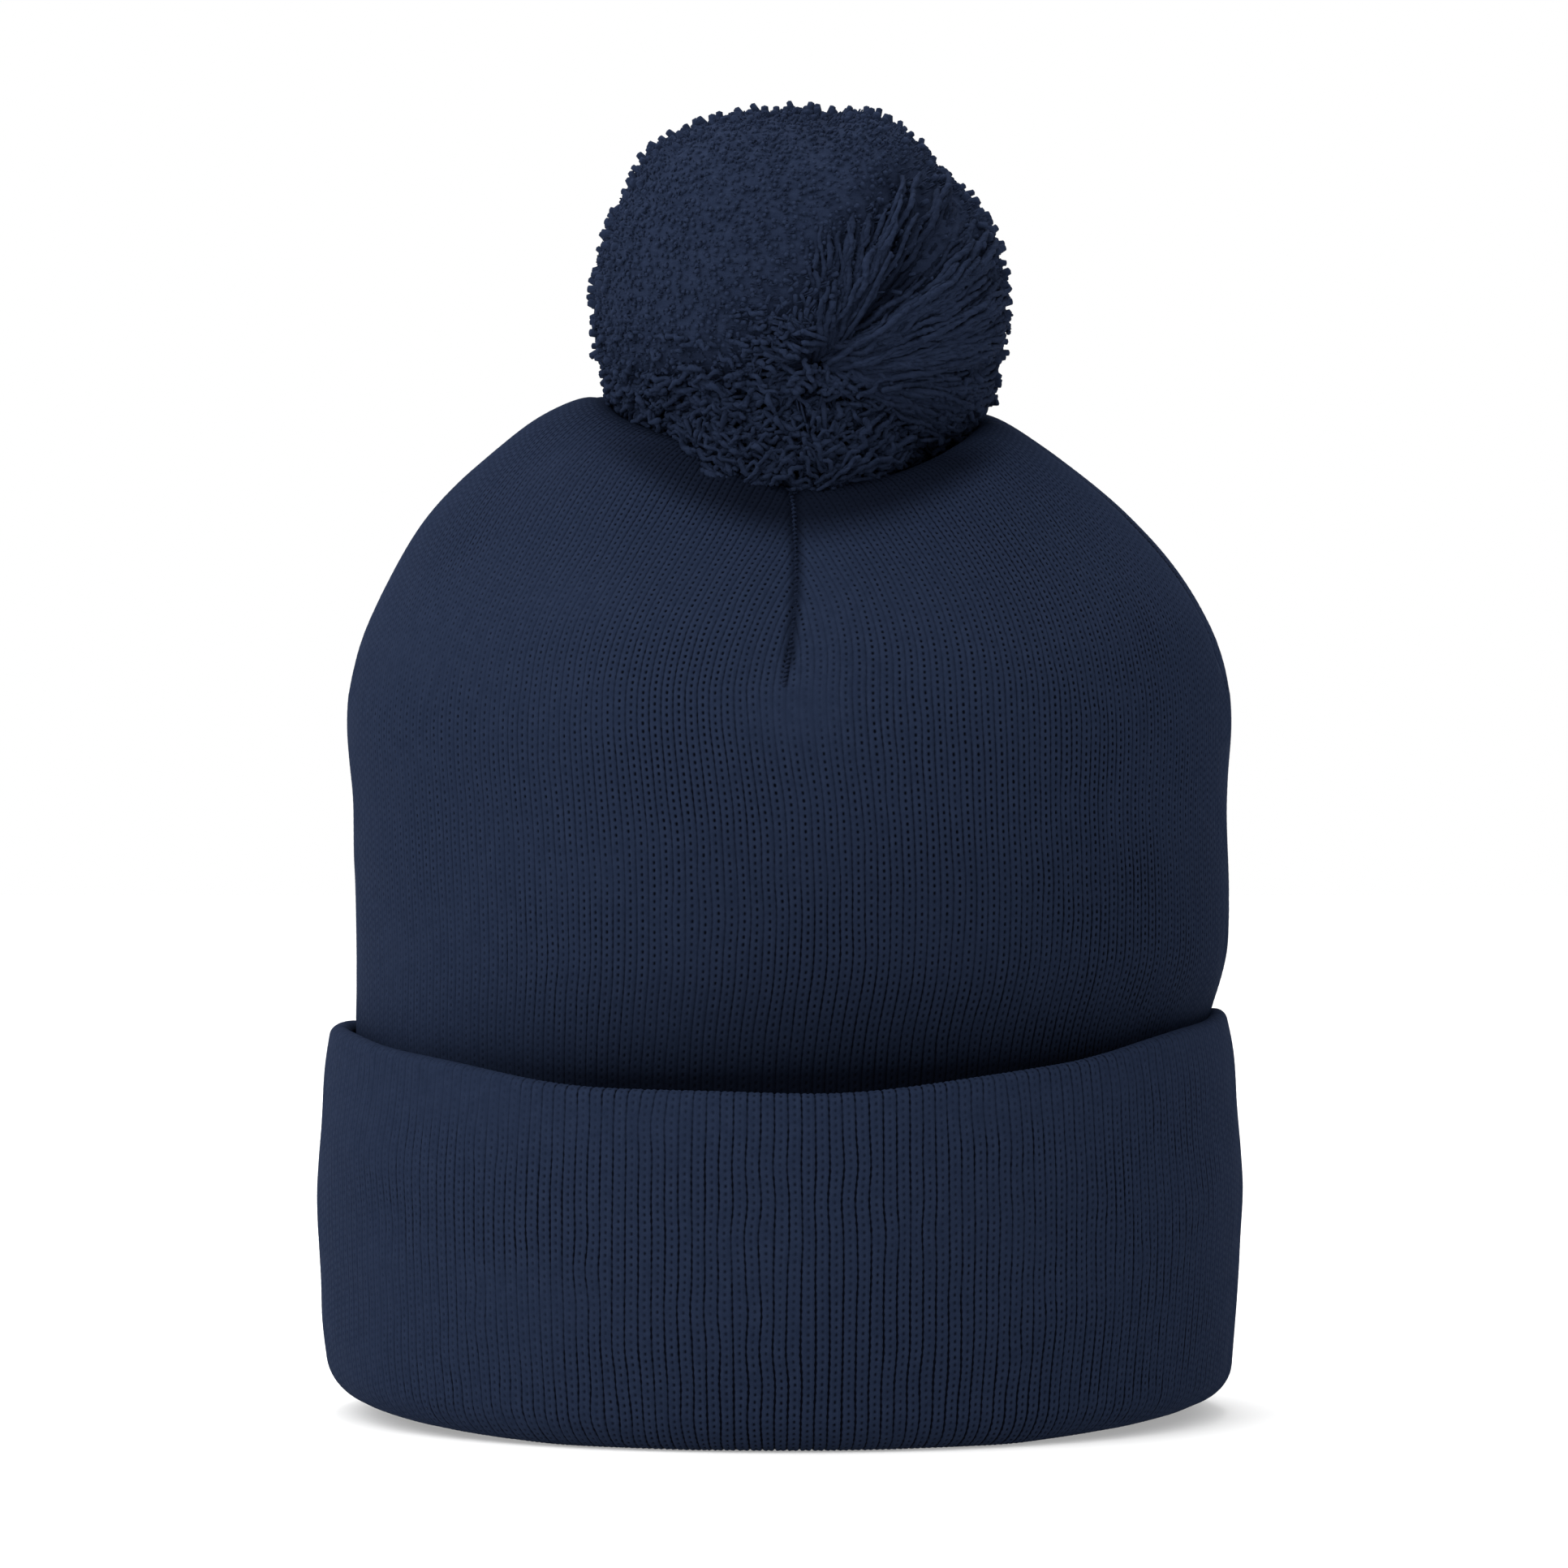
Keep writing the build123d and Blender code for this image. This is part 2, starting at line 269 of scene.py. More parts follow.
def satin_material():
    """Off-white woven ribbon: fine warp across a soft weft."""
    material, tree, shader = principled("white_satin", 0.38, 0.25, 0.3, 0.45)
    warp = noise_node(tree, object_coordinates(tree, (1, 0.2, 0.03)), 9000, 2)
    weft = noise_node(tree, object_coordinates(tree, (0.05, 0.2, 1)), 7000, 2)
    cloud = noise_node(tree, object_coordinates(tree), 90, 2)
    node = mixed(tree, cloud, (0.70, 0.70, 0.68), (0.78, 0.78, 0.76))
    tree.links.new(node, shader.inputs["Base Color"])
    tree.links.new(remap(tree, warp, 0.3, 0.7, 0.30, 0.46), shader.inputs["Roughness"])
    bumped(tree, shader, math_node(tree, "ADD", warp, weft), 0.3, 0.00008)
    return material


KNIT = knit_material()
POM_YARN = yarn_material(
    "navy_pom_yarn", (0.0098, 0.0150, 0.0322), (0.0150, 0.0222, 0.0455), (0.0018, 0.0028, 0.0068), 0.7, (0.55, 0.55, 2.1)
)
THREAD = yarn_material("navy_seam_thread", (0.0056, 0.0088, 0.0195), (0.0078, 0.0118, 0.0250), (0.0014, 0.0022, 0.0052))
CORD = yarn_material("navy_tie_cord", (0.0054, 0.0085, 0.0190), (0.0076, 0.0115, 0.0245), (0.0014, 0.0022, 0.0052))
LABEL_THREAD = yarn_material("navy_label_thread", (0.0068, 0.0107, 0.0235), (0.0090, 0.0136, 0.0290), (0.0014, 0.0022, 0.0052))
SATIN = satin_material()


# ---------------------------------------------------------------- mesh helpers
def new_piece(name, vertices, loops, starts, material, attributes=None, flat_faces=None, normals=None):
    """A mesh piece from arrays: vertices in millimetres, face corners and where each face starts."""
    mesh = bpy.data.meshes.new(name)
    mesh.vertices.add(len(vertices))
    mesh.vertices.foreach_set("co", (np.asarray(vertices) * MM).astype(np.float32).ravel())
    mesh.loops.add(len(loops))
    mesh.loops.foreach_set("vertex_index", np.asarray(loops, np.int32))
    mesh.polygons.add(len(starts))
    mesh.polygons.foreach_set("loop_start", np.asarray(starts, np.int32))
    mesh.update(calc_edges=True)
    mesh.polygons.foreach_set("use_smooth", np.ones(len(starts), bool))
    if flat_faces is not None:
        mesh.polygons.foreach_set("use_smooth", ~np.asarray(flat_faces, bool))
    for key, values in (attributes or {}).items():
        layer = mesh.attributes.new(key, "FLOAT", "POINT")
        layer.data.foreach_set("value", np.asarray(values, np.float32))
    mesh.materials.append(material)
    mesh.validate()
    mesh.update()
    if normals is not None:
        mesh.normals_split_custom_set(normals.astype(np.float32))
    piece = bpy.data.objects.new(name, mesh)
    bpy.context.scene.collection.objects.link(piece)
    return piece


def smoothed(values, sigma, axis=0):
    """Gaussian smoothing along an axis, with the ends held in place."""
    reach = int(math.ceil(3 * sigma))
    if reach < 1:
        return values
    kernel = np.exp(-0.5 * (np.arange(-reach, reach + 1) / sigma) ** 2)
    kernel /= kernel.sum()
    values = np.moveaxis(values, axis, 0)
    first, last = values[:1], values[-1:]
    before = 2 * first - values[reach:0:-1]
    after = 2 * last - values[-2 : -2 - reach : -1]
    padded = np.concatenate([before, values, after])
    out = np.zeros_like(values)
    for i, weight in enumerate(kernel):
        out += weight * padded[i : i + len(values)]
    return np.moveaxis(out, 0, axis)


def grid_normals(points, closed):
    """Normals of a grid of points, rows along axis 0 and columns round axis 1."""
    along = np.gradient(points, axis=0)
    if closed:
        around = np.roll(points, -1, 1) - np.roll(points, 1, 1)
    else:
        around = np.gradient(points, axis=1)
    normal = np.cross(around, along)
    return normal / np.maximum(np.linalg.norm(normal, axis=2, keepdims=True), 1e-9)


def shell_piece(name, outer, outer_normals, inner, step_rows, step_columns, material, attributes):
    """A closed shell: a fine outer grid of points, a coarse inner one, and walls round their edges.

    Grids have rows along axis 0, and columns to the right of a viewer outside along axis 1.
    """
    rows, columns = outer.shape[:2]
    row_ids = list(range(0, rows - 1, step_rows)) + [rows - 1]
    column_ids = list(range(0, columns - 1, step_columns)) + [columns - 1]
    coarse = inner[np.ix_(row_ids, column_ids)]
    vertices = np.concatenate([outer.reshape(-1, 3), coarse.reshape(-1, 3)])
    index = np.arange(rows * columns).reshape(rows, columns)
    back = rows * columns + np.arange(coarse.shape[0] * coarse.shape[1]).reshape(coarse.shape[:2])
    front = np.stack([index[:-1, :-1], index[:-1, 1:], index[1:, 1:], index[1:, :-1]], -1).reshape(-1, 4)
    behind = np.stack([back[:-1, :-1], back[1:, :-1], back[1:, 1:], back[:-1, 1:]], -1).reshape(-1, 4)
    loops = [front.ravel(), behind.ravel()]
    sizes = [np.full(len(front) + len(behind), 4)]
    walls = []

    def wall(edge, back_edge, ids, flip):
        for k in range(len(ids) - 1):
            run = list(edge[ids[k] : ids[k + 1] + 1])
            face = run[::-1] + [back_edge[k], back_edge[k + 1]]
            walls.append(face[::-1] if flip else face)

    wall(index[0], back[0], column_ids, False)
    wall(index[-1], back[-1], column_ids, True)
    wall(index[:, 0], back[:, 0], row_ids, True)
    wall(index[:, -1], back[:, -1], row_ids, False)
    loops.append(np.concatenate([np.array(w) for w in walls]))
    sizes.append(np.array([len(w) for w in walls]))
    sizes = np.concatenate(sizes)
    starts = np.concatenate([[0], np.cumsum(sizes)[:-1]])
    flat = np.zeros(len(sizes), bool)
    flat[-len(walls) :] = True
    values = {
        key: np.concatenate([v.ravel(), v[np.ix_(row_ids, column_ids)].ravel()])
        for key, v in attributes.items()
    }
    # the face's own normals carry on across to the next panel, so that no join shows
    loops = np.concatenate(loops)
    normals = np.zeros((len(loops), 3))
    smooth_corners = len(front) * 4
    normals[:smooth_corners] = outer_normals.reshape(-1, 3)[loops[:smooth_corners]]
    return new_piece(name, vertices, loops, starts, material, values, flat, normals)


# ---------------------------------------------------------------- wales round the ellipse
def even_angles(count, ratio):
    """Ellipse parameters that divide its length evenly, from the front dart round to itself."""
    t = np.linspace(0, 2 * math.pi, 20001)
    speed = np.hypot(np.sin(t), ratio * np.cos(t))
    length = np.concatenate([[0], np.cumsum((speed[1:] + speed[:-1]) / 2)])
    start = math.radians(DARTS[0]) % (2 * math.pi)
    offset = np.interp(start, t, length)
    total = length[-1]
    want = (offset + np.arange(count) / count * total) % total
    return np.interp(want, length, t)


COLUMNS = WALES * PER_WALE
angles = even_angles(COLUMNS, 1.06)
wale_number = np.arange(COLUMNS) / PER_WALE  # 0 at the front dart, rising to the viewer's right

# gores between the darts, in wale numbers
dart_angles = np.unwrap(np.radians(np.array(DARTS)))
unwrapped = np.unwrap(angles)
unwrapped += 2 * math.pi * round((dart_angles[0] - unwrapped[0]) / (2 * math.pi))
dart_wales = [round(float(np.interp(a, unwrapped, wale_number))) for a in dart_angles] + [WALES]


def wave(count, harmonics, seed, size):
    """A smooth seeded wobble round a closed loop."""
    source = np.random.default_rng(seed)
    t = np.linspace(0, 2 * math.pi, count, endpoint=False)
    total = np.zeros(count)
    for k in harmonics:
        total += source.normal() / math.sqrt(k) * np.cos(k * t + source.uniform(0, 2 * math.pi))
    return size * total / max(np.abs(total).max(), 1e-9)


def wobble(rows, columns, seed, cell_rows, cell_columns):
    """Smooth seeded noise on a grid that closes round its columns, about -1 to 1."""
    source = np.random.default_rng(seed)
    coarse = source.normal(size=(rows // cell_rows + 3, columns // cell_columns))
    coarse = np.concatenate([coarse, coarse[:, :1]], 1)
    r = np.linspace(0, coarse.shape[0] - 1.001, rows)
    c = np.arange(columns) / columns * (coarse.shape[1] - 1)
    r0, c0 = r.astype(int), c.astype(int)
    fr, fc = (r - r0)[:, None], (c - c0)[None, :]
    fr, fc = fr * fr * (3 - 2 * fr), fc * fc * (3 - 2 * fc)
    a, b = coarse[np.ix_(r0, c0)], coarse[np.ix_(r0, c0 + 1)]
    d, e = coarse[np.ix_(r0 + 1, c0)], coarse[np.ix_(r0 + 1, c0 + 1)]
    return ((a * (1 - fc) + b * fc) * (1 - fr) + (d * (1 - fc) + e * fc) * fr) * 0.6


def relief(wale, course, unevenness):
    """How far the stitches stand proud, 0 to 1: two loop sides to a wale, with a gap between wales."""
    side = np.abs(np.sin(2 * math.pi * wale)) ** 0.75
    middle = 0.5 - 0.5 * np.cos(2 * math.pi * wale)  # 1 in a wale's middle, 0 between wales
    course = course + 0.23 * np.sin(math.pi * wale)
    eyelet = np.clip(0.5 - 0.5 * np.cos(2 * math.pi * course), 0, 1) ** 2
    floor = middle * (0.62 - 0.55 * eyelet) + (1 - middle) * 0.06
    lean = np.sin(2 * math.pi * (course + 0.35 * np.cos(2 * math.pi * wale)))
    height = floor + (1 - floor) * side + 0.035 * lean * side
    return height * (1 + 0.10 * unevenness)


# ---------------------------------------------------------------- the upright layers' surface
BODY_BOTTOM = 56.0
HIDDEN_ROWS = 12  # the plain stretch inside the cuff
lower_courses = int(round((DART_FOOT - BODY_BOTTOM) / COURSE))
SHOULDER_COURSES = 43
CAP_FINE, CAP_COARSE = 46, 26
CAP_FINE_REACH = 21.0


def crown_profile(heights):
    """Half width, depth ratio and lean of the crown at these heights, rounded off between sections."""
    dense = np.arange(CROWN[0, 0], CROWN[-1, 0] + 0.01, 0.25)
    table = np.stack([np.interp(dense, CROWN[:, 0], CROWN[:, k]) for k in (1, 2, 3)], 1)
    table = smoothed(table, 12.0)
    return [np.interp(heights, dense, table[:, k]) for k in range(3)]


def crown_ring(heights, turn):
    """Points of the crown's smooth outside: rows at these heights, columns at these ellipse angles."""
    a, ratio, lean = crown_profile(heights)
    points = np.empty((len(heights), len(turn), 3))
    points[:, :, 0] = lean[:, None] + a[:, None] * np.cos(turn)
    points[:, :, 1] = (a * ratio)[:, None] * np.sin(turn)
    points[:, :, 2] = np.asarray(heights)[:, None]
    return points


def along_path(path, length, want):
    return np.stack([np.interp(want, length, path[:, k]) for k in range(3)], 1)


def upper_path(t):
    """From a dart's foot up the crown at one angle, and down into the dip to the gathered hole."""
    heights = np.arange(DART_FOOT, 193.01, 0.4)
    line = crown_ring(heights, np.array([t]))[:, 0]
    away = np.linalg.norm(line - POM_CENTRE, axis=1)
    from_front = (t - math.radians(DARTS[0] + 6) + math.pi) % (2 * math.pi) - math.pi
    dip = 6.2 * math.exp(-((from_front / (0.25 if from_front < 0 else 0.52)) ** 2))
    dip -= 1.7 * math.exp(-(((from_front + 0.52) / 0.24) ** 2))  # the knit stands higher beside it, on the left
    line = line[: int(np.argmax(away < DISH_RADIUS - 0.3 + dip))]
    start = line[-1] - POM_CENTRE
    reach = np.linalg.norm(start)
    polar = math.acos(-start[2] / reach)
    around = math.atan2(start[1], start[0])
    share = np.linspace(0, 1, 121)[1:]
    polars = polar + (math.asin(HOLE_RADIUS / DISH_RADIUS) - polar) * share
    radii = reach + (DISH_RADIUS - reach) * share
    bowl = POM_CENTRE + np.stack(
        [
            radii * np.sin(polars) * math.cos(around),
            radii * np.sin(polars) * math.sin(around),
            -radii * np.cos(polars),
        ],
        1,
    )
    path = np.concatenate([line, bowl])
    length = np.concatenate([[0], np.cumsum(np.linalg.norm(np.diff(path, axis=0), axis=1))])
    ridge = length[len(line) - 1]
    fine = np.linspace(0, length[-1], 300)
    even = along_path(path, length, fine)
    soft = smoothed(even, 4.0 / fine[1])
    weight = np.exp(-(((fine - ridge) / 13.0) ** 2))[:, None]
    return even * (1 - weight) + soft * weight, fine


def body_grid():
    """Smooth surface of the outer layer, rows upward, and the course number of every point."""
    hidden = np.linspace(6.0, BODY_BOTTOM, HIDDEN_ROWS, endpoint=False)
    lower = BODY_BOTTOM + (DART_FOOT - BODY_BOTTOM) * np.arange(lower_courses * PER_COURSE) / (lower_courses * PER_COURSE)
    turn = angles[::2]
    below = crown_ring(np.concatenate([hidden, lower]), turn)
    exact = np.arange(SHOULDER_COURSES * PER_COURSE) * COURSE / PER_COURSE
    start = exact[-1] + COURSE / PER_COURSE
    above = np.empty((len(exact) + CAP_FINE + CAP_COARSE, len(turn), 3))
    reach = np.empty(above.shape[:2])
    for j, t in enumerate(turn):
        path, length = upper_path(t)
        rest = length[-1] - start
        share = CAP_FINE_REACH / 59.0
        cap = start + rest * np.concatenate(
            [np.linspace(0, share, CAP_FINE, endpoint=False), np.linspace(share, 1, CAP_COARSE)]
        )
        want = np.concatenate([exact, cap])
        above[:, j] = along_path(path, length, want)
        reach[:, j] = want
    above = closed_smooth(above, 4.0)
    points = np.concatenate([below, above])
    both = np.empty((len(points), COLUMNS, 3))
    both[:, ::2] = points
    both[:, 1::2] = (points + np.roll(points, -1, 1)) / 2
    course = np.empty((len(points), COLUMNS))
    course[: len(below)] = (np.concatenate([hidden, lower]) - BODY_BOTTOM)[:, None] / (DART_FOOT - BODY_BOTTOM) * lower_courses
    wide = np.repeat(reach, 2, axis=1)
    wide[:, 1::2] = (reach + np.roll(reach, -1, 1)) / 2
    course[len(below) :] = lower_courses + wide / COURSE
    return both, course


def leaned(points):
    """The front dart leans, foot to the left and top to the right, and the right dart comes forward near the pom."""
    x, y, z = points[:, :, 0], points[:, :, 1], points[:, :, 2]
    up = np.clip((z - 108) / 24, 0, 1)
    up = up * up * (3 - 2 * up)
    shift = (-2.0 + 4.0 * np.clip((z - DART_FOOT) / 34, 0, 1)) * up
    near = np.exp(-(((x - 1) / 30) ** 2)) * np.clip(-y / 30, 0, 1)
    near = near * np.clip((np.hypot(x - POM_CENTRE[0], y - POM_CENTRE[1]) - 9) / 16, 0, 1)
    out = points.copy()
    out[:, :, 0] += shift * near
    forward = np.clip((z - 148) / 28, 0, 1)
    forward = 3.5 * forward * forward * (3 - 2 * forward) * np.exp(-(((y + 8) / 28) ** 2)) * np.clip((x - 16) / 14, 0, 1)
    out[:, :, 1] -= forward
    return out


def closed_smooth(points, sigma):
    """Smooths a grid round its columns, which close on themselves."""
    reach = int(math.ceil(3 * sigma))
    kernel = np.exp(-0.5 * (np.arange(-reach, reach + 1) / sigma) ** 2)
    kernel /= kernel.sum()
    out = np.zeros_like(points)
    for i, weight in enumerate(kernel):
        out += weight * np.roll(points, i - reach, 1)
    return out


body_points, body_course = body_grid()
body_points = leaned(body_points)
body_rows = len(body_points)
foot_row = HIDDEN_ROWS + lower_courses * PER_COURSE
body_normals = grid_normals(body_points, True)
body_spacing = np.linalg.norm(np.roll(body_points, -1, 1) - body_points, axis=2)
past_foot = np.arange(body_rows) - foot_row
above_foot = np.clip(past_foot / (5.0 * PER_COURSE), 0, 1)[:, None]
taken_in = np.clip(past_foot / (34.0 * PER_COURSE), 0, 1)[:, None]
taken_in = 0.62 * taken_in * (2 - taken_in)  # how far the wales run into the darts rather than close up


# ---- the outer layer, gore by gore: its wales stay parallel and run into the darts ----
soft_dents = wobble(body_rows, COLUMNS, 3, 60, 116) * 0.35
tension = wobble(body_rows, COLUMNS, 4, 16, 24)
body_wale = np.empty((body_rows, COLUMNS))
dart_dent = np.zeros((body_rows, COLUMNS))
gores = []
body_sway = 0.085 * wobble(body_rows, COLUMNS, 23, 22, 15)
body_course = body_course + 0.10 * wobble(body_rows, COLUMNS, 24, 14, 20)
for g in range(4):
    first, last = dart_wales[g] * PER_WALE, dart_wales[g + 1] * PER_WALE
    run = np.concatenate([np.zeros((body_rows, 1)), np.cumsum(body_spacing[:, first:last], 1)], 1)
    pitch = run[foot_row, -1] / (dart_wales[g + 1] - dart_wales[g])
    centre = (dart_wales[g] + dart_wales[g + 1]) / 2
    parallel = centre + (run - run[:, -1:] / 2) / pitch
    straight = np.linspace(dart_wales[g], dart_wales[g + 1], last - first + 1)[None, :]
    wales = straight * (1 - taken_in) + parallel * taken_in
    wales = wales + body_sway[:, np.arange(first, last + 1) % COLUMNS]
    from_seam = np.minimum(run, run[:, -1:] - run)
    dent = above_foot * (1.25 * np.exp(-((from_seam / 1.1) ** 2)) + 0.9 * np.exp(-((from_seam / 7.0) ** 2)))
    gores.append((first, last, wales, dent))
    dart_dent[:, first:last] = np.maximum(dart_dent[:, first:last], dent[:, :-1])


def knit_surface(points, normals, wales, courses, uneven, height, sink):
    """The knitted face: points moved along their normals by the stitches' relief."""
    proud = relief(wales, courses, uneven) * height - height
    return points + normals * (proud + sink)[:, :, None]


def openness(points, seed, cells, right_edge):
    """How far the stitches are pulled open: less at the left, more towards the lower middle."""
    x, y, z = points[:, :, 0], points[:, :, 1], points[:, :, 2]
    front = np.clip(-y / 40, 0, 1)
    left = np.clip((-x - 22) / 46, 0, 1)
    far_right = np.clip((x - 62) / 20, 0, 1)
    share = 0.92 + 0.22 * wobble(points.shape[0], points.shape[1], seed, *cells)
    share -= front * (0.50 * left + right_edge * far_right) + (1 - front) * 0.15 + 0.2 * np.clip(-x / 80, 0, 1) * (1 - front)
    foot = np.exp(-(((x - 3.5) / 11) ** 2) - (((z - 128.5) / 7) ** 2)) * front
    seam_right = np.exp(-(((x - 8) / 5) ** 2) - (((z - 146) / 14) ** 2)) * front
    return np.clip(share - 0.75 * foot - 0.45 * seam_right, 0.12, 1.15)


def crown_painted_shade(points):
    """Painted shade on the knit: it darkens where it tucks in behind the cuff, under the pom and its fringe, and a
    little low on the front.
    """
    x, y, z = points[:, :, 0], points[:, :, 1], points[:, :, 2]
    rim = 62.6 + x * x / 690
    above_rim = np.clip(z - rim - 0.5, 0, None)
    middle = 1 - np.clip(np.abs(x - 12) / 78, 0, 1) ** 2
    behind_cuff = (0.15 + 0.74 * middle) * np.exp(-above_rim / 5.0) + 0.30 * middle * np.exp(-((above_rim / 17) ** 2))
    from_pom = np.linalg.norm(points - POM_CENTRE, axis=2) - POM_RADIUS
    lower = np.clip((POM_CENTRE[2] - 14 - z) / 10, 0, 1)
    under_pom = 0.86 * np.exp(-np.clip(from_pom - 0.6, 0, None) / 4.2) * lower
    below_fringe = np.clip((168.2 + 0.012 * (x - 5) ** 2 - z - 3.0) / 8.5, 0, 1)
    in_front = np.clip((-y - 20) / 15, 0, 1) * np.clip((z - 140) / 10, 0, 1)
    under_fringe = (0.84 - 0.34 * np.clip((-x - 6) / 22, 0, 1)) * (1 - below_fringe * below_fringe * (3 - 2 * below_fringe)) * in_front
    under_pom = np.maximum(under_pom, under_fringe)
    # painted shade, a little darker low on the front
    lower_front_shade = 0.13 * np.clip((112 - z) / 12, 0, 1) * np.clip((x + 35) / 30, 0, 1) * np.clip(-y / 30, 0, 1)
    return np.clip(1 - (1 - behind_cuff) * (1 - under_pom) * (1 - lower_front_shade), 0, 0.90)


crown_open = openness(body_points, 21, (44, 58), 0.0)
crown_open += 0.22 * np.clip((body_points[:, :, 0] - 18) / 30, 0, 1) * np.clip(-body_points[:, :, 1] / 30, 0, 1)
# painted shade where the knit tucks in behind the cuff and under the pom
crown_shade = crown_painted_shade(body_points)
# more painted shade in the dart seams' grooves, where their dent is deep
crown_shade = 1 - (1 - crown_shade) * (1 - 0.5 * np.clip((dart_dent - 0.9) / 1.25, 0, 1))
# how much of the painted shade goes into the gaps between wales rather than the eyelets: more low on the crown and near
# the top
crown_channels = 0.64 + 0.42 * np.clip((108 - body_points[:, :, 2]) / 30, 0, 1) + 0.25 * np.clip((body_points[:, :, 2] - 150) / 20, 0, 1)
crown_face = np.empty((body_rows, COLUMNS + 1, 3))
crown_wale = np.empty((body_rows, COLUMNS + 1))
hidden_part = (np.arange(body_rows) < HIDDEN_ROWS)[:, None]
for first, last, wales, dent in gores:
    columns = np.arange(first, last + 1) % COLUMNS
    sink = np.where(hidden_part, -0.2, soft_dents[:, columns] - dent + 0.1)
    height = RIB_HEIGHT * (0.45 + 0.6 * crown_open[:, columns])
    crown_face[:, first : last + 1] = knit_surface(
        body_points[:, columns], body_normals[:, columns], wales, body_course[:, columns], tension[:, columns], height, sink
    )
    crown_wale[:, first : last + 1] = wales
crown_normals = grid_normals(crown_face[:, :-1], True)

crown_pieces = []
for g, (first, last, wales, dent) in enumerate(gores):
    half = (last - first) // (2 * PER_WALE) * PER_WALE
    for k, (low, high) in enumerate(((0, half), (half, last - first))):
        columns = np.arange(first + low, first + high + 1) % COLUMNS
        d = dent[:, low : high + 1]
        back = body_points[:, columns] - body_normals[:, columns] * (1.75 + np.clip(d, 0, 1.2))[:, :, None]
        crown_pieces.append(
            shell_piece(
                f"crown_knit_{2 * g + k + 1}",
                crown_face[:, columns],
                crown_normals[:, columns],
                back,
                8,
                12,
                KNIT,
                {
                    "wale": wales[:, low : high + 1],
                    "course": body_course[:, columns],
                    "openness": crown_open[:, columns],
                    # painted shade where the knit tucks in
                    "painted_shade": crown_shade[:, columns],
                    "channels": crown_channels[:, columns],
                },
            )
        )

# ---------------------------------------------------------------- the turned-up cuff and the lining
def face_radius(z):
    return FACE_AXIS + np.sqrt(FACE_RADIUS**2 - (z - FACE_MIDDLE) ** 2)


def rim_height(turn):
    """Higher at the sides than at the front and back, as the cuff is folded."""
    x = 84.3 * np.cos(turn)
    saddle = 62.6 + 348.0 - np.sqrt(348.0**2 - x**2)
    return saddle + 1.3 * x / 80 + wave(len(turn), range(3, 12), 7, 0.55)


def side_lift(turn):
    """How far the fold stands off the floor, most at the sides."""
    return 2.3 * np.clip((np.abs(np.cos(turn)) - 0.45) / 0.5, 0, 1) ** 1.5


def cuff_paths(turn):
    """Round the cuff's knit at each angle: behind the rim, over it, down the face, round the fold, up inside."""
    z_rim = rim_height(turn)
    centre = np.stack([FOLD_CENTRE * np.cos(turn), FOLD_CENTRE * DEPTH_RATIO * np.sin(turn)], 1)
    out = np.stack([np.cos(turn) / 1.0, np.sin(turn) / DEPTH_RATIO], 1)
    out /= np.linalg.norm(out, axis=1, keepdims=True)
    roll = 1.9
    loose = (1.5 - 0.8 * np.cos(turn)) * np.abs(np.cos(turn)) ** 5  # the fold is fuller at the sides
    rz = []
    for share in np.linspace(0, 1, 12, endpoint=False):
        z = z_rim - 9.0 + share * (9.0 - roll)
        rz.append((face_radius(z) - 2 * roll, z))
    for bend in np.linspace(math.pi, 0, 18, endpoint=False):
        rz.append((face_radius(z_rim - roll) - roll + roll * math.cos(bend), z_rim - roll + roll * math.sin(bend)))
    for share in np.linspace(0, 1, 90, endpoint=False):
        z = z_rim - roll + share * (8.0 + loose - z_rim + roll)
        rz.append((face_radius(z), z))
    outer_radius = 8.0 + loose
    corner = face_radius(outer_radius) - outer_radius
    for bend in np.linspace(0, -math.pi / 2, 24):
        rz.append((corner + outer_radius * math.cos(bend), np.maximum(outer_radius - 0.15 + outer_radius * math.sin(bend), 0)))
    for bend in np.linspace(-math.pi / 2, -math.pi, 14):
        rz.append((corner - 1.0 + 3.0 * math.cos(bend), np.maximum(2.85 + 3.0 * math.sin(bend), 0) + 0 * z_rim))
    rz.append((71.8 - 0.8 * loose, 4.6 + 0 * z_rim))
    radius = np.array([r for r, z in rz])
    z = np.array([z for r, z in rz])
    points = np.empty((len(rz), len(turn), 3))
    points[:, :, :2] = centre[None] + (radius - FOLD_CENTRE)[:, :, None] * out[None]
    points[:, :, 2] = z
    heights = np.arange(6.0, DART_FOOT + 0.01, 1.5)
    wall = crown_ring(heights, turn)
    inset = 3.8 + 0.8 * loose[None] * np.exp(-(heights[:, None] - 5.0) / 9.0)
    wall[:, :, :2] -= inset[:, :, None] * out[None]
    points = np.concatenate([points, wall])
    points = smoothed(points, 1.0)
    points[:, :, 2] = np.maximum(points[:, :, 2], 0)
    points[:, :, 2] += side_lift(turn)[None] * np.exp(-points[:, :, 2] / 12.0)
    length = np.concatenate([np.zeros((1, len(turn))), np.cumsum(np.linalg.norm(np.diff(points, axis=0), axis=2), 0)])
    return points, length - length[30]


CUFF_END = 92.0  # along the knit from the rim, some way up the inside


def resampled(points, length, want):
    """Each column's path at the wanted distances; want has one row for each row out."""
    out = np.empty((len(want), points.shape[1], 3))
    for j in range(points.shape[1]):
        w = want if want.ndim == 1 else want[:, j]
        for k in range(3):
            out[:, j, k] = np.interp(w, length[:, j], points[:, j, k])
    return out


